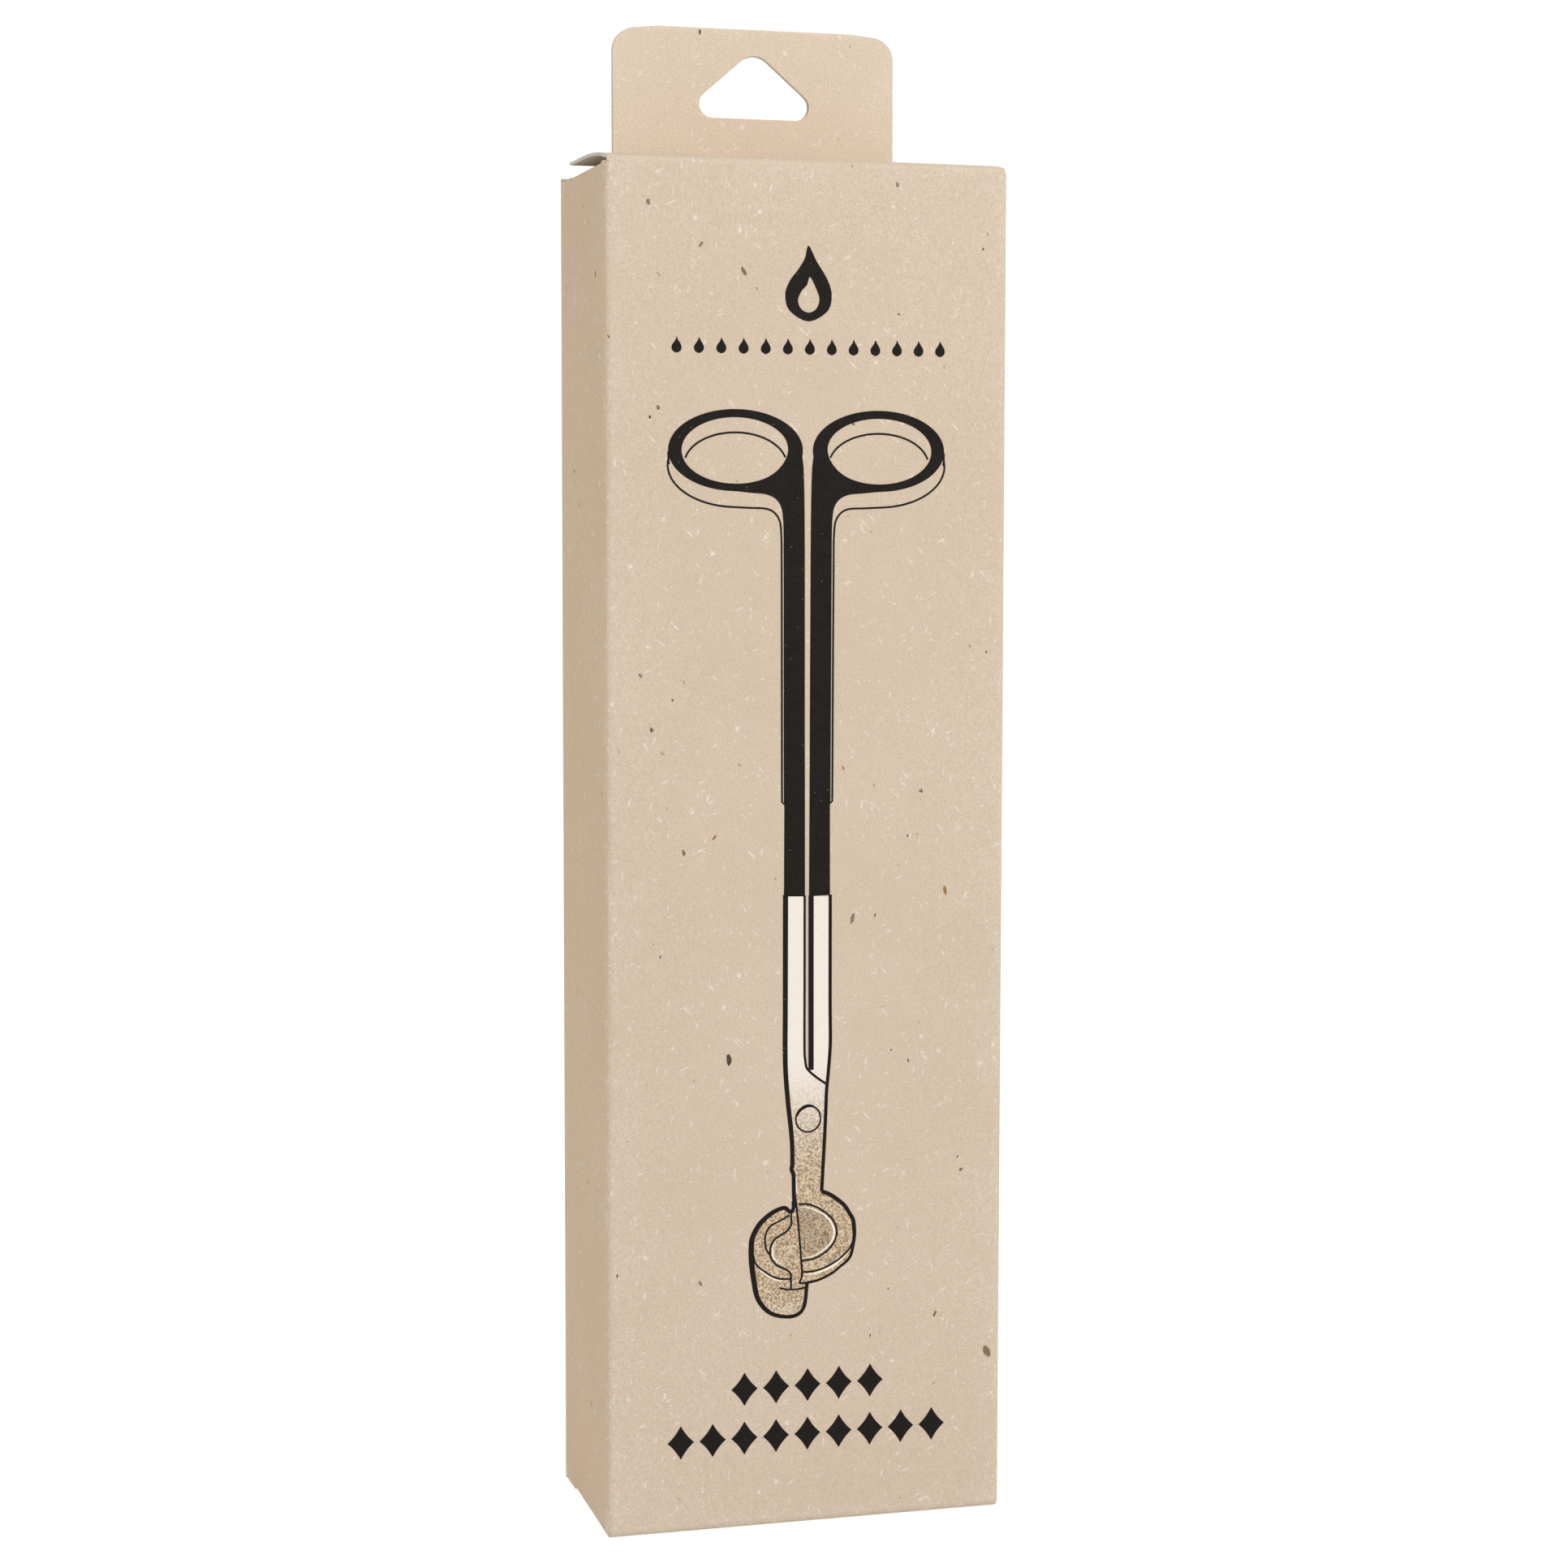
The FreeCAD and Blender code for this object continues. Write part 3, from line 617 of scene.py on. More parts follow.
def build_front():
    def place(u, v, w):
        along, inward = bent(u, w, FRONT_FLAT, FRONT_FLAT)
        return warp((along, FRONT_Y + inward, v))

    end = FRONT_FLAT + EIGHTH
    inset = FRONT_FLAT - 0.7
    z0, z1 = bottom_fold.setback, HEIGHT + TOP_RISE - top_fold.setback
    ob = sheet("front_board", [(-end, z0), (end, z0), (end, z1), (-end, z1)], place, M_FRONT,
               u_cuts=low_corner(FRONT_FLAT) + [-inset, inset] + high_corner(FRONT_FLAT)
               + cuts_between(-inset, inset, 4.4),
               v_cuts=[z for z in level_cuts if z0 + 0.2 < z < z1 - 0.2] + [z0 + 1, z1 - 1],
               wear=wall_wear(-end, end, z0, z1, seed=1.0))
    attach(ob, "carton", "front_panel")


def build_back():
    """Folded from the right side, with a raw edge at the left and a notch under the tab."""
    def place(u, v, w):
        along, inward = bent(u, w, 1e6, FRONT_FLAT)
        return warp((along, BACK_Y - inward, v))

    def wear(u, v):
        raw_distance = min(u - RAW_X, v, HEIGHT - v)
        return max(0.0, rim_wear(end - u, 1.8, 0.9, v, 21),
                   rim_wear(raw_distance, 0.8, 0.7, v + u, 23))

    end = FRONT_FLAT + EIGHTH
    notch_x, notch_z = TAB_X + 0.15, HEIGHT - 0.6
    outline = [(RAW_X, 0.15), (end, 0.15), (end, HEIGHT), (notch_x, HEIGHT), (notch_x, notch_z),
               (-notch_x, notch_z), (-notch_x, HEIGHT), (RAW_X, HEIGHT)]
    ob = sheet("back_board", outline, place, M_KRAFT,
               u_cuts=high_corner(FRONT_FLAT) + cuts_between(RAW_X, FRONT_FLAT, 4.4),
               v_cuts=[z for z in level_cuts if 0.5 < z < notch_z - 0.3], wear=wear)
    attach(ob, "carton", "back_panel")


def build_side(name, side, flat_hi, end, wear_end, high_cuts, seed):
    """Side wall, cut back at top and bottom where its dust flaps are folded on."""
    def place(u, v, w):
        along, inward = bent(u, w, SIDE_FLAT, flat_hi)
        return warp((side * (HALF_W - inward), along, v))

    start = -SIDE_FLAT - EIGHTH
    front, back = DUST_FRONT - 0.1, DUST_BACK + 0.1
    low, high = DUST_BOTTOM_Z + DUST_FOLD_R, DUST_TOP_Z - DUST_FOLD_R
    outline = [(start, 0.62), (front, 0.62), (front, low), (back, low), (back, 0.7), (end, 0.7),
               (end, HEIGHT - 0.75), (back, HEIGHT - 0.75), (back, high), (front, high),
               (front, HEIGHT - 0.62), (start, HEIGHT - 0.62)]
    ob = sheet(name + "_side_board", outline, place, M_SIDE,
               u_cuts=low_corner(SIDE_FLAT) + high_cuts + cuts_between(-SIDE_FLAT, flat_hi, 4.0),
               v_cuts=side_levels,
               wear=wall_wear(start, wear_end, 0.62, HEIGHT - 0.7, seed, amount=0.85))
    attach(ob, "carton", name + "_side_panel")


def build_glue_flap():
    """Runs on from the left wall, inside the back board."""
    (_, _, low), (right_x, _, high) = box_mm("glue_flap")
    left_x = -HALF_W + FOLD_R
    outline = rounded([(left_x, low + 0.5), (right_x, low + 3.5), (right_x, high - 3.5),
                       (left_x, high - 0.5)], [0, 1.5, 1.5, 0])
    ob = sheet("glue_flap_board", outline, lambda u, v, w: warp((u, INNER_BACK_Y + w, v)),
               M_KRAFT, u_cuts=cuts_between(left_x, right_x, 4.0),
               v_cuts=[z for z in level_cuts if 8 < z < HEIGHT - 8])
    attach(ob, "carton", "glue_flap")


build_front()
build_back()
build_side("left", -1, LEFT_FLAT, end=LEFT_FLAT + QUARTER, wear_end=LEFT_FLAT + QUARTER * 0.5,
           high_cuts=[LEFT_FLAT + QUARTER * k / 6 for k in range(6)], seed=5.0)
build_side("right", 1, SIDE_FLAT, end=SIDE_FLAT + EIGHTH, wear_end=SIDE_FLAT + EIGHTH,
           high_cuts=high_corner(SIDE_FLAT), seed=8.0)
build_glue_flap()


# ------------------------------------------------------------------ closures and their flaps
def build_lid(end_name, sign, direction, fold):
    """Closure in its own plane: u across, v from the front fold, w out of the carton."""
    cos, sin = direction
    base = HEIGHT if sign > 0 else 0.0
    start = fold.setback
    end = LID_LEN - FOLD_R / math.tan(TUCK_TURN / 2)

    def place(u, v, w):
        lift = w
        if sign > 0:
            # crowned across, humped behind the front fold, and raised at the fold itself
            crown = 0.16 * (1 - (u / LID_X) ** 2) - 0.10
            crown *= smooth01((v - start) / 12.0) * smooth01((end + 3 - v) / 6.0)
            along = max(0.0, min(1.0, (v - start - 0.3) / 26.0))
            hump = 0.72 * math.sin(math.pi * along ** 0.75)
            lift += crown + hump + TOP_RISE * max(0.0, 1 - v / LID_LEN) ** 1.3
        return (u, FRONT_Y + v * cos - lift * sin, base + sign * (v * sin + lift * cos))

    def wear(u, v):
        return max(0.0, rim_wear(min(LID_X - abs(u), end - v), 0.9, 0.8, u + v, 31 + sign),
                   rim_wear(v - start, 1.1, 0.5, u, 33))

    outline = rounded([(-LID_X, start), (LID_X, start), (LID_X - 0.5, end - 0.3),
                       (TUCK_X + 0.3, end), (-TUCK_X - 0.3, end), (-LID_X + 0.5, end - 0.3)],
                      [0, 0, 1.0, 0, 0, 1.0])
    ob = sheet(end_name + "_closure_board", outline, place, M_KRAFT,
               u_cuts=cuts_between(-LID_X, LID_X, 3.5), v_cuts=cuts_between(start, end, 3.0),
               wear=wear)
    attach(ob, end_name + "_closure", end_name + "_closure_panel")


def build_tuck(end_name, sign, corner, lid_dir):
    """Tuck flap beyond its fold: u across, v down from the fold's corner point."""
    to_lid = Vector((-lid_dir[0], -lid_dir[1]))
    angle = math.atan2(to_lid.y, to_lid.x) + sign * TUCK_TURN
    along = Vector((math.cos(angle), math.sin(angle)))
    outward = Vector((-along.y, along.x)) * sign
    fold = Fold(corner, to_lid, along)
    start = fold.setback

    def place(u, v, w):
        point = Vector(corner) + along * v + outward * w
        return (u, point.x, point.y)

    def wear(u, v):
        distance = min(TUCK_X - abs(u), TUCK_LEN - v)
        return max(0.0, rim_wear(distance, 0.8, 0.6, u + v, 51))

    outline = rounded([(-TUCK_X, start), (TUCK_X, start), (TUCK_X, TUCK_LEN),
                       (-TUCK_X, TUCK_LEN)], [0, 0, 6.0, 6.0], steps=12)
    body = end_name + "_tuck"
    ob = sheet(body + "_board", outline, place, M_KRAFT,
               u_cuts=cuts_between(-TUCK_X, TUCK_X, 4.0),
               v_cuts=cuts_between(start, TUCK_LEN, 3.0), wear=wear)
    attach(ob, body, body + "_flap")
    crease(body + "_crease", fold, TUCK_X - 0.1, seed=53,
           strength=0.5)


def build_dust_flap(end_name, sign, side_name, side, z):
    """Dust flap: u is the depth y, v the distance from the side wall's outer face."""
    body = f"{end_name}_dust_{side_name}"
    outline = rounded([(DUST_FRONT + 0.25, DUST_FOLD_R), (DUST_FRONT + 0.8 * DUST_LEN, DUST_LEN),
                       (DUST_BACK, DUST_LEN), (DUST_BACK, DUST_FOLD_R)], [0, 1.2, 2.0, 0])
    ob = sheet(body + "_board", outline,
               lambda u, v, w: (side * (HALF_W - v), u, z + sign * w), M_KRAFT,
               u_cuts=cuts_between(DUST_FRONT, DUST_BACK, 3.5),
               v_cuts=cuts_between(DUST_FOLD_R, DUST_LEN, 3.5),
               wear=lambda u, v: max(0.0, rim_wear(DUST_LEN - v, 0.8, 0.6, u, 61)))
    attach(ob, body, f"{end_name}_dust_flap_{side_name}")
    crease(body + "_crease", Fold((side * HALF_W, z), (0, -sign), (-side, 0), DUST_FOLD_R),
           (DUST_BACK - DUST_FRONT) / 2 - 0.1, M_SIDE,
           seed=63 + side, mid_u=(DUST_FRONT + DUST_BACK) / 2,
           to_space=lambda u, x, z: (x, u, z))


build_lid("top", 1, LID_DIR, top_fold)
build_lid("bottom", -1, (1, 0), bottom_fold)
for end_name, fold, seed in (("top", top_fold, 41), ("bottom", bottom_fold, 43)):
    crease(end_name + "_front_crease", fold, LID_X - 0.15,
           M_FRONT, seed=seed, strength=0.35)
build_tuck("top", 1, TOP_TUCK, LID_DIR)
build_tuck("bottom", -1, BOTTOM_TUCK, (1, 0))
for side_name, side in (("left", -1), ("right", 1)):
    build_dust_flap("top", 1, side_name, side, DUST_TOP_Z)
    build_dust_flap("bottom", -1, side_name, side, DUST_BOTTOM_Z)

# ------------------------------------------------------------------ hang tab, folded over on top
TAB_FLAT_TOP = TAB_TOP - TAB_FOLD_R
TAB_CORNER_R = 3.7
HOLE_Z = 225.7             # foot of the triangular hole
HOLE_HALF_W = 13.0
HOLE_H = 11.15
HOLE_MID_Z = HOLE_Z + 4.2
tab_hole = rounded([(-HOLE_HALF_W, HOLE_Z), (HOLE_HALF_W, HOLE_Z), (0, HOLE_Z + HOLE_H)],
                   [2.2, 2.2, 3.3], steps=10)
wider_hole = [(x * 1.012, HOLE_MID_Z + (z - HOLE_MID_Z) * 1.012) for x, z in tab_hole]


def build_tab_ply(name, outer_y, facing, z_low, hole):
    """One ply; facing is 1 when its outer face looks back and -1 when it looks forward."""
    def place(u, v, w):
        # the front ply parts a hair from the back one towards its sides
        part = 0.0
        if facing < 0:
            part = 0.10 * smooth01((abs(u) - TAB_X + 3.0) / 3.0)
            part *= smooth01((TAB_FLAT_TOP - 4.0 - v) / 10.0)
        return (u, outer_y + facing * (w + part), v)

    def wear(u, v):
        distance = min(TAB_X - abs(u), TAB_FLAT_TOP - v + 0.3)
        return max(0.0, rim_wear(distance, 0.7, 0.55, u + v, 71))

    outline = rounded([(-TAB_X, z_low), (TAB_X, z_low), (TAB_X, TAB_FLAT_TOP),
                       (-TAB_X, TAB_FLAT_TOP)], [0, 0, TAB_CORNER_R, TAB_CORNER_R], steps=10)
    ob = sheet(f"hang_tab_{name}_board", outline, place, M_TAB_PAINTED_LIGHT, holes=[hole],
               u_cuts=cuts_between(-TAB_X, TAB_X, 4.0),
               v_cuts=cuts_between(z_low, TAB_FLAT_TOP, 4.0), wear=wear)
    attach(ob, "hang_tab", f"hang_tab_{name}_ply")


def build_tab_fold():
    """The half-round fold joining the plies, sinking towards the rounded corners."""
    half_w = TAB_X - TAB_CORNER_R + 0.4
    length = math.pi * TAB_FOLD_R

    def place(u, v, w):
        angle = v / TAB_FOLD_R
        reach = TAB_FOLD_R + w
        sink = math.sqrt(smooth01((half_w + 0.3 - abs(u)) / 3.4))
        return (u, BACK_Y - TAB_FOLD_R + reach * math.cos(angle),
                TAB_FLAT_TOP + reach * math.sin(angle) * sink - 0.02)

    def wear(u, v):
        return max(0.0, 0.45 * edge_noise(u, 73) * math.sin(math.pi * v / length))

    ob = sheet("hang_tab_top_fold",
               [(-half_w, 0), (half_w, 0), (half_w, length), (-half_w, length)], place, M_TAB_PAINTED_LIGHT,
               u_cuts=cuts_between(-half_w, half_w, 4.0),
               v_cuts=[length * k / 10 for k in range(1, 10)], wear=wear, sharp_deg=60)
    attach(ob, "hang_tab")


def build_tab_score():
    """Score line at the tab's foot, a shallow groove between carton and tab."""
    half_w, half_h = TAB_X - 0.05, 0.6

    def place(u, v, w):
        return (u, BACK_Y + w - 0.10 * math.cos(v / half_h * math.pi / 2), HEIGHT + v)

    ob = sheet("hang_tab_crease", [(-half_w, -half_h), (half_w, -half_h), (half_w, half_h),
                                   (-half_w, half_h)], place, M_KRAFT,
               u_cuts=cuts_between(-half_w, half_w, 4.0), v_cuts=[-0.4, -0.2, 0.0, 0.2, 0.4],
               wear=lambda u, v: 0.5 * edge_noise(u, 77), sharp_deg=60)
    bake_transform(ob)


build_tab_ply("back", BACK_Y, 1, HEIGHT + 0.6, tab_hole)
build_tab_ply("front", BACK_Y - 2 * TAB_FOLD_R, -1, box_mm("hang_tab_front_ply")[0][2],
              wider_hole)
build_tab_fold()
build_tab_score()

# ------------------------------------------------------------------ print: shapes in (x, z)
PRINT_T = 0.012
PRINT_STAGGER = 0.0008     # step between neighbouring shapes of a layer


def spline(points, steps, closed=False):
    """Catmull-Rom curve through 2D points."""
    pts = [Vector(p) for p in points]
    count = len(pts)
    out = []
    for i in range(count if closed else count - 1):
        p1, p2 = pts[i], pts[(i + 1) % count]
        p0 = pts[i - 1] if (i > 0 or closed) else p1 * 2 - p2
        p3 = pts[(i + 2) % count] if (i + 2 < count or closed) else p2 * 2 - p1
        for k in range(steps):
            t = k / steps
            out.append(0.5 * ((2 * p1) + (p2 - p0) * t + (2 * p0 - 5 * p1 + 4 * p2 - p3) * t * t
                              + (3 * p1 - p0 - 3 * p2 + p3) * t ** 3))
    if not closed:
        out.append(pts[-1])
    return [(p.x, p.y) for p in out]


def ellipse(x, z, half_w, half_h, start=0, end=360, steps=48):
    """Points round an ellipse from start to end in degrees."""
    angles = [math.radians(start + (end - start) * i / steps)
              for i in range(steps + (0 if abs(end - start) >= 360 else 1))]
    return [(x + half_w * math.cos(a), z + half_h * math.sin(a)) for a in angles]


class PrintLayer:
    """Print gathered into one mesh, every shape a closed slab lifted off the front board."""

    def __init__(self, name, material, lift):
        self.bm = bmesh.new()
        self.name, self.material, self.lift = name, material, lift
        self.count = 0

    def add_slab(self, bm):
        top = extruded(bm)
        lift = self.lift + PRINT_STAGGER * (self.count % 9)
        self.count += 1
        for vert in bm.verts:
            w = lift if vert in top else lift - PRINT_T
            vert.co = Vector(warp((vert.co.x, FRONT_Y - w, vert.co.y))) * MM
        bmesh.ops.recalc_face_normals(bm, faces=bm.faces[:])
        face_outwards(bm)
        mesh = bpy.data.meshes.new("tmp")
        bm.to_mesh(mesh)
        bm.free()
        self.bm.from_mesh(mesh)
        bpy.data.meshes.remove(mesh)

    def fill(self, outline, holes=()):
        bm = filled([outline, *holes], merge=1e-4)
        spans = [(axis, [v.co[axis] for v in bm.verts]) for axis in (1, 0)]
        for axis, values in spans:      # large shapes are cut so that they follow the swell
            if max(values) - min(values) > 6:
                cut(bm, axis, cuts_between(min(values), max(values), 5.0))
        self.add_slab(bm)

    def line(self, points, width, closed=False):
        """Pen line with flat ends; width is a number or a function of the share along it."""
        pts = [Vector(p) for p in points]
        n = len(pts)
        bm = bmesh.new()
        sides = [], []
        for i, point in enumerate(pts):
            last = pts[i - 1] if i > 0 or closed else point
            following = pts[(i + 1) % n] if i < n - 1 or closed else point
            along = (following - last).normalized()
            half = (width(i / (n - 1)) if callable(width) else width) / 2
            offset = Vector((-along.y, along.x)) * half
            sides[0].append(point + offset)
            sides[1].append(point - offset)
        left, right = [[bm.verts.new((p.x, p.y, 0)) for p in side] for side in sides]
        for i in range(n if closed else n - 1):
            j = (i + 1) % n
            bm.faces.new((left[i], left[j], right[j], right[i]))
        self.add_slab(bm)

    def curve(self, points, width, steps=6):
        self.line(spline(points, steps), width)

    def done(self):
        for face in self.bm.faces:
            face.smooth = False
        attach(new_object(self.name, self.bm, [self.material]), "carton")


# outlines of the drawn trimmer, top to bottom
BLADE_LEFT = [
    (-3.80, 101.0), (-3.80, 84.0), (-3.82, 76.5), (-3.70, 72.5), (-3.28, 67.6), (-2.80, 63.4),
    (-2.62, 60.5), (-2.62, 57.6), (-2.38, 55.6), (-2.30, 53.6)]
BLADE_RIGHT = [
    (3.52, 101.0), (3.55, 84.0), (3.60, 77.5), (3.30, 73.0), (3.00, 69.8), (2.86, 66.0),
    (2.68, 62.0), (2.44, 57.5), (2.23, 53.64)]
DISC = [
    (2.23, 53.64), (3.6, 53.05), (4.93, 52.12), (6.05, 51.1), (6.83, 49.91), (7.45, 48.8),
    (7.65, 47.5), (7.68, 46.2), (7.52, 44.88), (7.12, 43.07), (6.4, 42.1), (5.37, 41.33),
    (4.2, 40.45), (2.81, 39.75), (1.3, 39.25), (-0.15, 39.05)]
CUP = [
    (-2.42, 52.3), (-2.42, 51.1), (-2.95, 50.62), (-3.79, 51.3), (-4.86, 51.1), (-5.95, 50.6),
    (-7.05, 49.8), (-7.98, 48.9), (-8.71, 47.75), (-9.15, 46.7), (-9.31, 45.6), (-9.31, 43.42),
    (-9.12, 41.4), (-8.84, 39.61), (-8.62, 38.2), (-8.23, 36.96), (-7.6, 35.9), (-6.84, 35.03),
    (-5.95, 34.4), (-4.89, 33.99), (-3.9, 33.8), (-2.96, 33.73), (-2.1, 33.85), (-1.35, 34.21),
    (-0.85, 34.8), (-0.54, 35.54), (-0.36, 36.6), (-0.28, 37.62), (-0.15, 39.0)]
# the two arms above their crossing, with the slot between them
ARMS = [
    (-3.80, 100.9), (-0.72, 100.8), (-0.72, 76.2), (-0.60, 74.6), (-0.10, 73.5), (0.42, 72.9),
    (0.62, 73.4), (0.78, 76.0), (0.78, 100.8), (3.52, 100.7)]
# the darker dish in the disc: its curved edge, then its straight side
DISH = [
    (-1.72, 51.6), (-0.2, 51.55), (1.25, 51.05), (2.9, 50.0), (4.08, 48.7), (4.6, 47.3),
    (4.40, 45.85), (3.5, 44.5), (2.0, 43.45), (0.5, 42.9), (-1.12, 42.75)]
DISH_SIDE = [(-1.28, 44.8), (-1.5, 47.2)]
# least width, extra width at mid length, points
GLINTS = (
    (0.10, 0.22, [(-1.3, 51.28), (-0.2, 51.2), (1.2, 50.7), (2.8, 49.7), (3.85, 48.5),
                  (4.3, 47.2), (4.12, 45.9), (3.3, 44.75), (1.9, 43.75), (0.5, 43.2),
                  (-1.05, 43.05)]),
    (0.12, 0.22, [(7.0, 44.6), (6.5, 43.45), (5.3, 42.3), (3.9, 41.4), (2.3, 40.75),
                  (0.79, 40.42), (-0.7, 40.38)]),
    (0.10, 0.20, [(-8.5, 42.5), (-7.9, 41.6), (-7.05, 40.92), (-6.1, 40.25), (-5.2, 39.78),
                  (-4.1, 39.5)]),
    (0.08, 0.18, [(-5.25, 46.1), (-5.75, 45.3), (-5.85, 44.4), (-5.7, 43.5), (-5.0, 42.7),
                  (-4.1, 42.1)]),
    (0.08, 0.20, [(-2.0, 56.2), (-1.95, 54.4), (-1.9, 53.4)]),
)
# lines inside the disc and cup: width, spline steps, points
INNER_LINES = (
    (0.30, 6, [(-1.55, 51.75), (-0.2, 51.7), (1.3, 51.2), (3.0, 50.1), (4.2, 48.8),
               (4.75, 47.3), (4.55, 45.8), (3.6, 44.4), (2.1, 43.3), (0.5, 42.75),
               (-1.15, 42.60)]),
    (0.30, 6, [(7.40, 45.1), (6.7, 43.9), (5.4, 42.7), (3.9, 41.8), (2.3, 41.15),
               (0.79, 40.83), (-0.96, 40.80)]),
    (0.33, 5, [(-2.30, 53.3), (-2.02, 52.25), (-1.62, 48.6), (-1.28, 44.8), (-0.96, 40.81)]),
    (0.33, 5, [(-0.96, 40.81), (-1.06, 39.9), (-1.36, 39.13), (-0.9, 39.02), (-0.15, 39.05)]),
    (0.30, 6, [(-3.05, 50.1), (-3.52, 49.85), (-5.0, 49.1), (-6.1, 48.6), (-6.72, 47.82),
               (-7.05, 46.8), (-7.05, 45.76), (-6.85, 44.8), (-6.30, 43.9)]),
    (0.32, 6, [(-2.70, 50.9), (-2.80, 49.6), (-2.77, 48.56), (-3.52, 47.56), (-4.5, 46.95),
               (-5.38, 46.44), (-6.0, 45.6), (-6.22, 44.6), (-6.15, 43.5), (-5.38, 42.39),
               (-4.4, 41.75), (-3.4, 41.25), (-2.86, 40.6), (-2.80, 39.4), (-2.80, 38.2)]),
    (0.30, 6, [(-9.2, 44.6), (-8.71, 42.86), (-8.1, 42.0), (-7.24, 41.33), (-6.3, 40.65),
               (-5.38, 40.17), (-4.2, 39.9), (-2.85, 39.82)]),
    (0.30, 6, [(-4.71, 38.5), (-3.6, 38.18), (-2.56, 38.08), (-1.5, 38.1), (-0.40, 38.29)]),
)
# loose chips in the front board: x, z, length, width, tilt from upright in degrees, layer
CHIPS = (
    (-15.3, 110.5, 1.05, 0.34, -40, 0), (22.6, 101.2, 1.45, 0.52, 8, 0),
    (7.2, 97.0, 1.75, 0.60, -10, 1), (-13.0, 75.4, 1.9, 0.85, 6, 2),
    (16.6, 74.0, 0.62, 0.26, 12, 2), (13.7, 75.8, 0.45, 0.22, 50, 2),
    (5.6, 121.0, 0.80, 0.28, 15, 0), (16.3, 110.0, 0.42, 0.24, 0, 2),
    (-25.7, 208.2, 1.0, 0.62, 12, 1), (14.2, 212.0, 0.85, 0.5, 20, 1),
    (-17.4, 202.0, 1.1, 0.42, -35, 1), (28.4, 202.4, 0.45, 0.26, 0, 2),
    (-25.5, 175.6, 0.5, 0.36, 0, 2), (-17.6, 40.0, 0.95, 0.5, 30, 1),
    (-31.0, 42.0, 0.62, 0.26, -12, 2), (21.3, 32.6, 1.2, 0.42, -25, 0),
    (10.4, 29.8, 0.75, 0.2, -14, 2), (13.4, 37.2, 0.34, 0.24, 0, 2),
    (26.6, 140.0, 0.5, 0.24, 30, 0), (-22.0, 132.0, 0.4, 0.26, 0, 2),
    (14.5, 192.0, 0.45, 0.25, 60, 2), (-8.5, 195.5, 0.5, 0.2, 40, 0),
    (25.0, 58.0, 0.5, 0.3, 0, 1), (-24.0, 92.0, 0.45, 0.22, 20, 2))
# flame outline and its open core, about the flame's middle
FLAME_MID = (-0.22, 196.1)
FLAME = spline([(0.0, 6.1), (1.35, 3.7), (3.05, 1.0), (3.75, -1.4), (3.05, -3.9), (0.0, -5.5),
                (-3.05, -3.9), (-3.75, -1.4), (-3.0, 0.7), (-1.7, 2.4), (-0.6, 4.2)], 8, True)
FLAME_CORE = spline([(0.25, 1.3), (1.35, -0.7), (1.75, -2.2), (1.2, -3.6), (0.0, -4.15),
                     (-1.2, -3.6), (-1.7, -2.3), (-1.15, -0.9), (-0.25, 0.1)], 8, True)
HANDLE_MIRROR = -0.58      # twice the x of the line between the handles
HANDLE_LINE = 0.30


def print_dish():
    layer = PrintLayer("foil_dish", M_FOIL_DISH, lift=0.0225)
    layer.fill(spline(DISH, 6) + DISH_SIDE)
    layer.done()


def print_glints():
    layer = PrintLayer("foil_glints", M_GLINT, lift=0.026)
    for least, extra, points in GLINTS:
        layer.curve(points, lambda s: least + extra * math.sin(math.pi * s))
    layer.done()


def print_chips():
    layers = [PrintLayer(name, material, lift=0.004) for name, material in (
        ("bran_chips", M_CHIP), ("grey_chips", M_CHIP_GREY), ("dark_chips", M_CHIP_DARK))]
    for number, (x, z, length, width, tilt, kind) in enumerate(CHIPS):
        cos, sin = math.cos(math.radians(90 + tilt)), math.sin(math.radians(90 + tilt))
        ring = []
        for cos_t, sin_t in ellipse(0, 0, 1, 1, steps=14):
            spot = Vector((cos_t * 1.3, sin_t * 1.3, number * 2.3))
            ragged = 1 + 0.35 * noise.noise(spot)
            a, b = length / 2 * cos_t * ragged, width / 2 * sin_t * ragged
            ring.append((x + a * cos - b * sin, z + a * sin + b * cos))
        layers[kind].fill(ring)
    for layer in layers:
        layer.done()


def print_foil():
    """One block: arms, crossing, neck, disc and cup."""
    layer = PrintLayer("foil_print", M_FOIL, lift=0.020)
    layer.fill(ARMS + spline(BLADE_RIGHT[1:], 5)[:-1] + spline(DISC, 4)[:-1]
               + spline(CUP, 4)[::-1][1:] + spline(BLADE_LEFT[1:], 5)[::-1])
    layer.done()


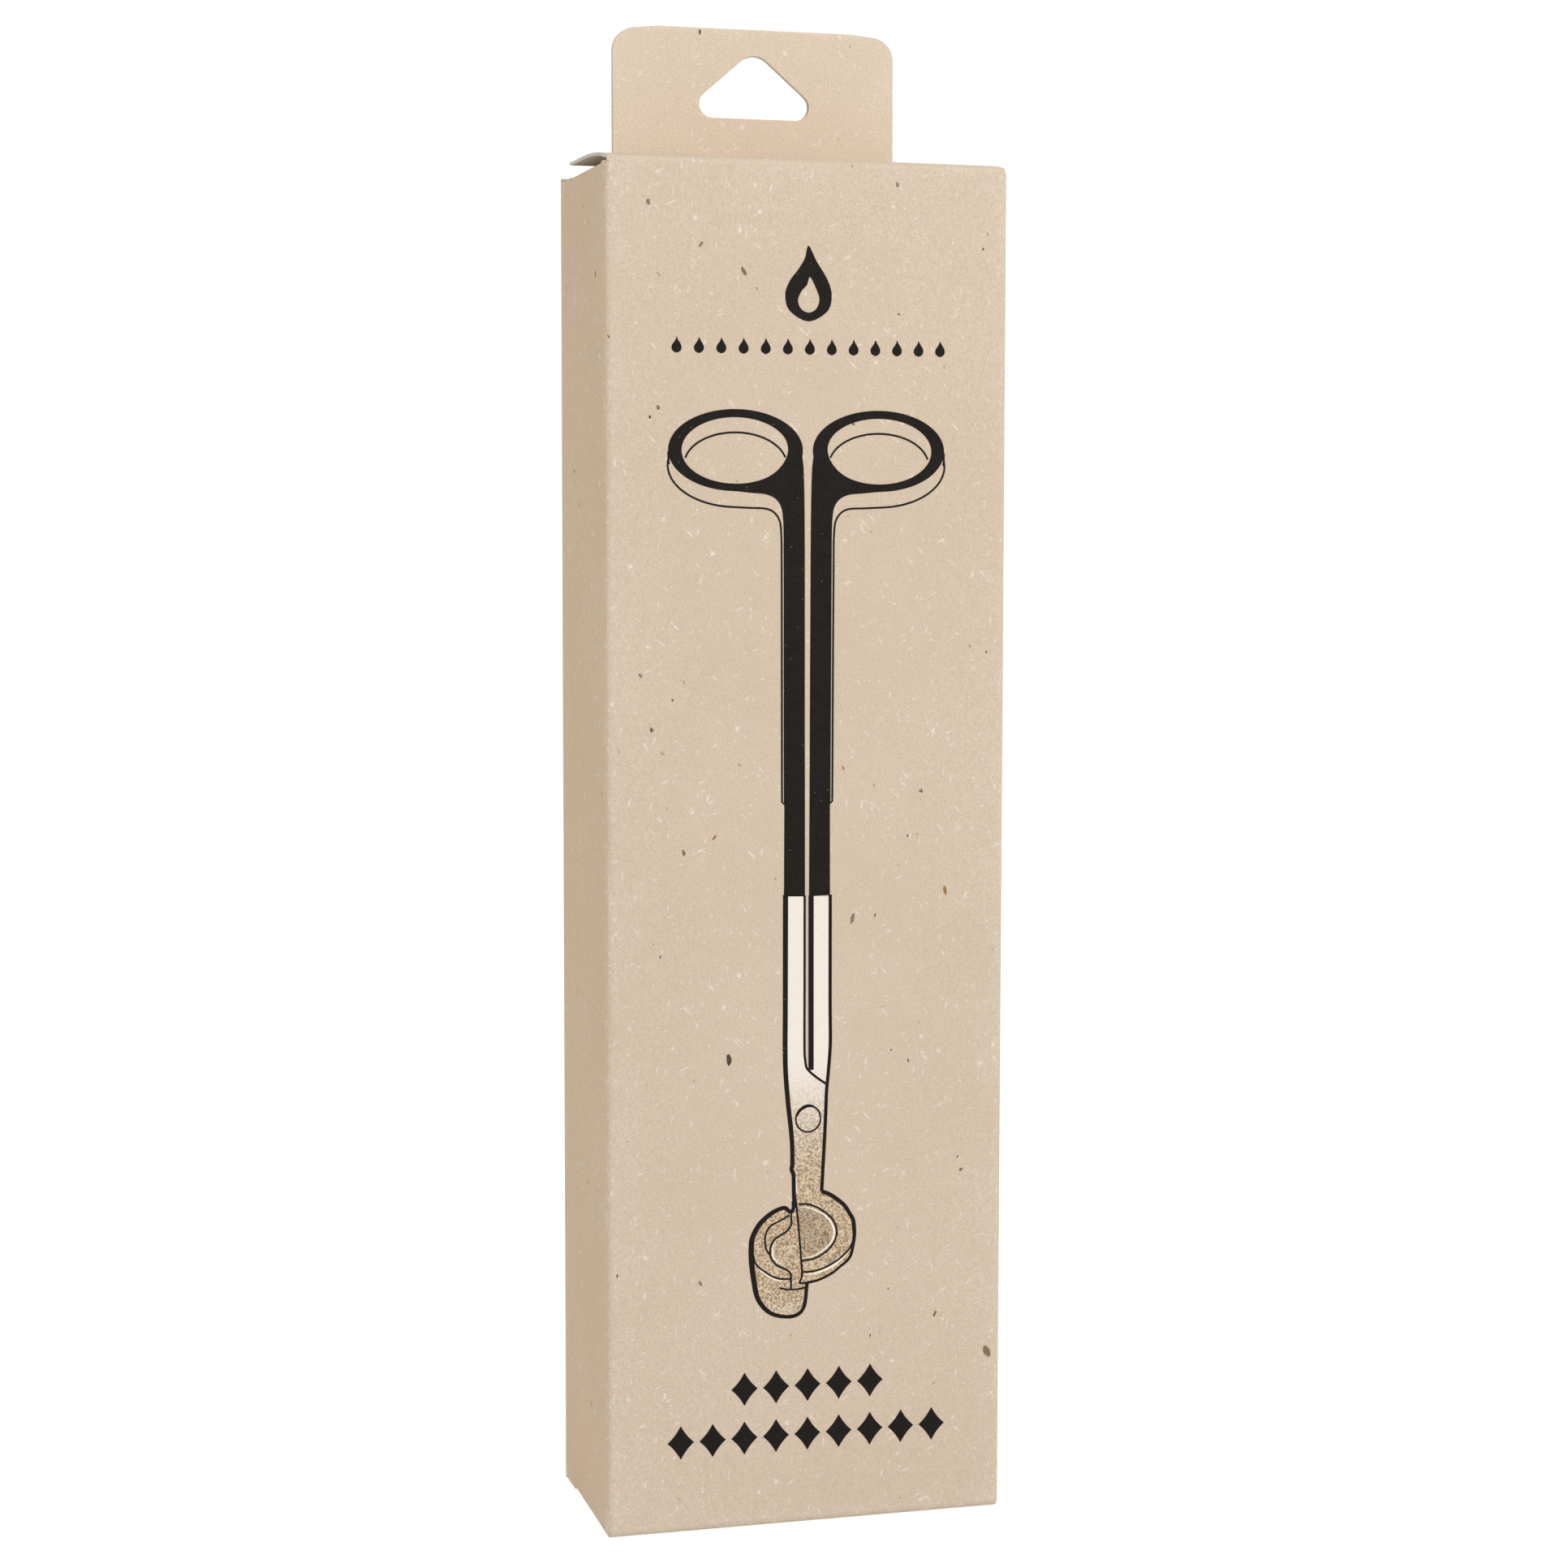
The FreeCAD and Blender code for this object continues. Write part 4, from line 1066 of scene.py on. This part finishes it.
def ink_handles(layer):
    """Each handle is a solid ring and shank, with thin lines for its thickness."""
    body = ellipse(-11.87, 170.62, half_w=10.78, half_h=6.32, start=-8, end=268, steps=60)
    body += spline([(-11.9, 164.30), (-9.4, 164.05), (-7.2, 163.85), (-5.6, 163.2),
                    (-4.62, 161.9), (-4.28, 159.8), (-4.2, 157.0)], 6)[1:]
    body += [(-4.18, 150.0), (-4.14, 130.0), (-4.10, 115.7), (-4.02, 115.2), (-4.06, 100.95),
             (-0.62, 100.85), (-0.70, 130.0), (-0.76, 155.0)]
    body += spline([(-0.80, 160.5), (-0.86, 164.5), (-0.98, 168.0)], 5)
    # the ring's hole leaves more black on the shank side
    hole = [(x if x < -8 else
             x - 0.35 * smooth01((x + 8) / 5.0) * smooth01((170.6 - z + 3) / 6.0), z)
            for x, z in ellipse(-11.93, 170.57, half_w=8.6, half_h=5.12, steps=56)]
    lower_edge = ellipse(-11.87, 168.3, half_w=10.85, half_h=6.45, start=168, end=262, steps=30)
    lower_edge += spline([(-12.6, 161.86), (-9.5, 161.72), (-7.0, 161.60), (-5.6, 160.9),
                          (-4.75, 159.4), (-4.52, 156.5)], 6)[1:]
    lower_edge += [(-4.46, 140.0), (-4.40, 115.8), (-4.05, 115.5)]
    far_side = [(-22.62, 170.4), (-22.6, 169.2), (-22.5, 168.4)]
    hole_edge = ellipse(-11.9, 168.35, half_w=8.2, half_h=5.0, start=14, end=168, steps=40)
    for flipped in (False, True):
        def turned(points):
            return [(HANDLE_MIRROR - x, z) for x, z in points] if flipped else points

        layer.fill(turned(body), [turned(hole)])
        for points in (lower_edge, far_side, hole_edge):
            layer.line(turned(points), HANDLE_LINE)


def ink_contours(layer):
    # left side of the left arm, the notch below it, and the right side
    layer.curve([(-3.80, 101.2)] + BLADE_LEFT[1:8], lambda s: 0.84 - 0.16 * s)
    layer.curve([(-2.62, 58.2), (-2.74, 57.4), (-2.42, 56.5), (-2.36, 54.6), (-2.30, 52.0)],
                0.66)
    layer.curve(BLADE_RIGHT, lambda s: 0.54 + 0.04 * s)
    # inner side of the right arm, then of the left arm, which crosses in front
    layer.line([(0.38, 101.0), (0.40, 90.0), (0.42, 80.0), (0.44, 73.2)], 0.86)
    layer.curve([(-0.68, 101.0), (-0.66, 88.0), (-0.66, 77.0), (-0.55, 75.0), (-0.36, 73.75),
                 (0.02, 73.15), (0.58, 72.60), (1.7, 71.70), (3.02, 70.80)], 0.38)
    layer.curve(DISC, lambda s: 0.66 - 0.26 * smooth01((s - 0.35) / 0.4), steps=5)
    layer.curve(CUP, lambda s: 0.60 + 0.28 * math.sin(math.pi * min(1.0, s / 0.75)) ** 2,
                steps=5)
    # rivet: a ring, thicker at its upper left
    x, z = -0.02, 65.40
    layer.line(ellipse(x, z, half_w=2.04, half_h=2.10, steps=40), 0.28, closed=True)
    layer.line(ellipse(x + 0.12, z + 0.10, half_w=1.92, half_h=1.98, start=50, end=170,
                       steps=24), lambda s: 0.12 + 0.42 * math.sin(math.pi * s))
    for width, steps, points in INNER_LINES:
        layer.curve(points, width, steps)


def placed(points, x, z, scale=1.0):
    return [(x + px * scale, z + pz * scale) for px, pz in points]


def lozenge(width=4.3, height=5.4, hollow=0.20):
    """A lozenge about the origin with slightly hollow sides."""
    corners = [(0, height / 2), (width / 2, 0), (0, -height / 2), (-width / 2, 0)]
    points = []
    for i, (ax, az) in enumerate(corners):
        bx, bz = corners[(i + 1) % 4]
        for k in range(8):
            t = k / 8
            pull = 1 - hollow * 4 * t * (1 - t) * 0.5
            points.append(((ax + (bx - ax) * t) * pull, (az + (bz - az) * t) * pull))
    return points


def ink_marks(layer):
    """A flame, a row of drops under it, and two rows of lozenges near the foot."""
    layer.fill(placed(FLAME, *FLAME_MID), [placed(FLAME_CORE, *FLAME_MID)])
    # outline, scale, count, first x, pitch, z
    for shape, scale, count, first, pitch, z in (
            (FLAME, 0.21, 13, -21.3, 3.55, 186.6),
            (lozenge(), 1.0, 5, -10.4, 5.2, 22.5),
            (lozenge(), 1.0, 9, -20.8, 5.2, 14.6)):
        for i in range(count):
            layer.fill(placed(shape, first + i * pitch, z, scale))


def print_ink():
    layer = PrintLayer("ink_print", M_INK, lift=0.036)
    ink_handles(layer)
    ink_contours(layer)
    ink_marks(layer)
    layer.done()


print_dish()
print_glints()
print_chips()
print_foil()
print_ink()

# ------------------------------------------------------------------ trimmer: CAD nodes stay
for material, names in (
        (M_GOLD, ("front_arm", "rear_arm")),
        (M_CUP, ("catch_cup",)),
        (M_PIN, ("pivot_screw", "pivot_washer", "pivot_collar")),
        (M_COAT, ("front_handle_coat", "rear_handle_coat"))):
    for name in names:
        slots = frame["nodes"][name].data.materials
        slots.clear()
        slots.append(material)

# ------------------------------------------------------------------ floor, light, camera
WARM_WHITE = (1.0, 0.985, 0.96, 1)
WHITE = (1, 1, 1, 1)
# name, place and target in metres, size in metres, power in watts, colour
LIGHTS = (
    ("key", (0.45, -0.85, 0.80), (0, 0, 0.14), 0.6, 6.5, (1.0, 0.985, 0.965)),
    ("fill", (-1.2, -0.35, 0.10), (0, 0, 0.16), 0.9, 2.3, (1.0, 0.965, 0.90)),
    ("top", (0, 0.2, 1.4), (0, 0, 0.1), 1.0, 1.3, (1, 1, 1)),
    ("card", (-0.55, -0.10, 0.03), (0, 0, 0.20), 0.4, 0.20, (1.0, 0.97, 0.92)),
    ("rim", (0.6, 1.1, 0.7), (0, 0, 0.12), 0.8, 3.0, (1, 1, 1)),
)
CAMERA_PLACE = (-0.13065, -0.46805, 0.15045)     # metres, for a sleeve 0.205 m tall
CAMERA_SLEEVE_H = 0.205
CAMERA_YAW, CAMERA_PITCH, CAMERA_ROLL = (math.radians(a) for a in (15.678, -4.548, 0.088))


def floor_mat():
    """Grey floor with a glow of its own, stronger where the camera sees it."""
    net = Material("pale_floor")
    camera_ray = net.node("ShaderNodeLightPath").outputs["Is Camera Ray"]
    return net.done({
        "Base Color": net.mix(net.noise(scale=0.01), (0.30, 0.30, 0.30), (0.31, 0.31, 0.31)),
        "Roughness": 1.0,
        "Specular IOR Level": 0.0,
        "Emission Color": WHITE,
        "Emission Strength": net.times_plus(camera_ray, 0.40, 0.46)})


def build_floor():
    bpy.ops.mesh.primitive_plane_add(size=12, location=(0, 0, -0.0002))
    floor = bpy.context.object
    floor.name = "floor"
    floor.data.materials.append(floor_mat())


def build_world():
    """Even light, white to the camera, and a striped studio for what the metal mirrors."""
    world = bpy.data.worlds.new("studio")
    bpy.context.scene.world = world
    world.use_nodes = True
    net = Nodes(world.node_tree)

    def background(colour, strength):
        return net.node("ShaderNodeBackground",
                        {"Color": colour, "Strength": strength}).outputs[0]

    def choose(factor, a, b):
        return net.node("ShaderNodeMixShader", {0: factor, 1: a, 2: b}).outputs[0]

    rays = net.node("ShaderNodeLightPath").outputs
    seen = choose(rays["Is Camera Ray"], background(WARM_WHITE, 0.52), background(WHITE, 1.05))
    generated = net.node("ShaderNodeTexCoord").outputs["Generated"]
    direction = net.node("ShaderNodeSeparateXYZ", {0: generated}).outputs
    # dark uprights across x, brighter overhead
    stripe = net.math("SINE", net.times_plus(direction[0], 5.2, 0.9), 0.0)
    level = net.times_plus(direction[2], 0.55, 0.48)
    mirrored = background(WARM_WHITE, net.times(level, net.times_plus(stripe, 0.42, 0.85)))
    net.node("ShaderNodeOutputWorld", {0: choose(rays["Is Glossy Ray"], seen, mirrored)})


def build_lights():
    for name, place, target, size, power, colour in LIGHTS:
        light = bpy.data.lights.new(name, "AREA")
        light.size, light.energy, light.color = size, power, colour
        ob = bpy.data.objects.new(name, light)
        bpy.context.scene.collection.objects.link(ob)
        ob.location = place
        ob.rotation_mode = "QUATERNION"
        ob.rotation_quaternion = (Vector(target) - Vector(place)).to_track_quat("-Z", "Y")


def build_camera():
    cos_yaw, sin_yaw = math.cos(CAMERA_YAW), math.sin(CAMERA_YAW)
    cos_pitch, sin_pitch = math.cos(CAMERA_PITCH), math.sin(CAMERA_PITCH)
    cos_roll, sin_roll = math.cos(CAMERA_ROLL), math.sin(CAMERA_ROLL)
    forward = Vector((sin_yaw * cos_pitch, cos_yaw * cos_pitch, sin_pitch))
    level = Vector((cos_yaw, -sin_yaw, 0))
    upright = level.cross(forward)
    right = level * cos_roll + upright * sin_roll
    up = -level * sin_roll + upright * cos_roll
    camera = bpy.data.objects.new("camera", bpy.data.cameras.new("camera"))
    bpy.context.scene.collection.objects.link(camera)
    camera.data.sensor_width = 36.0
    camera.data.lens = 72.33
    camera.data.clip_start = 0.01
    camera.data.clip_end = 30
    matrix = Matrix((right, up, -forward)).transposed().to_4x4()
    matrix.translation = Vector(CAMERA_PLACE) * ((HEIGHT * MM) / CAMERA_SLEEVE_H)
    camera.matrix_world = matrix
    bpy.context.scene.camera = camera


build_floor()
build_world()
build_lights()
build_camera()
bpy.context.scene.view_settings.view_transform = "Standard"
bpy.context.scene.view_settings.look = "None"
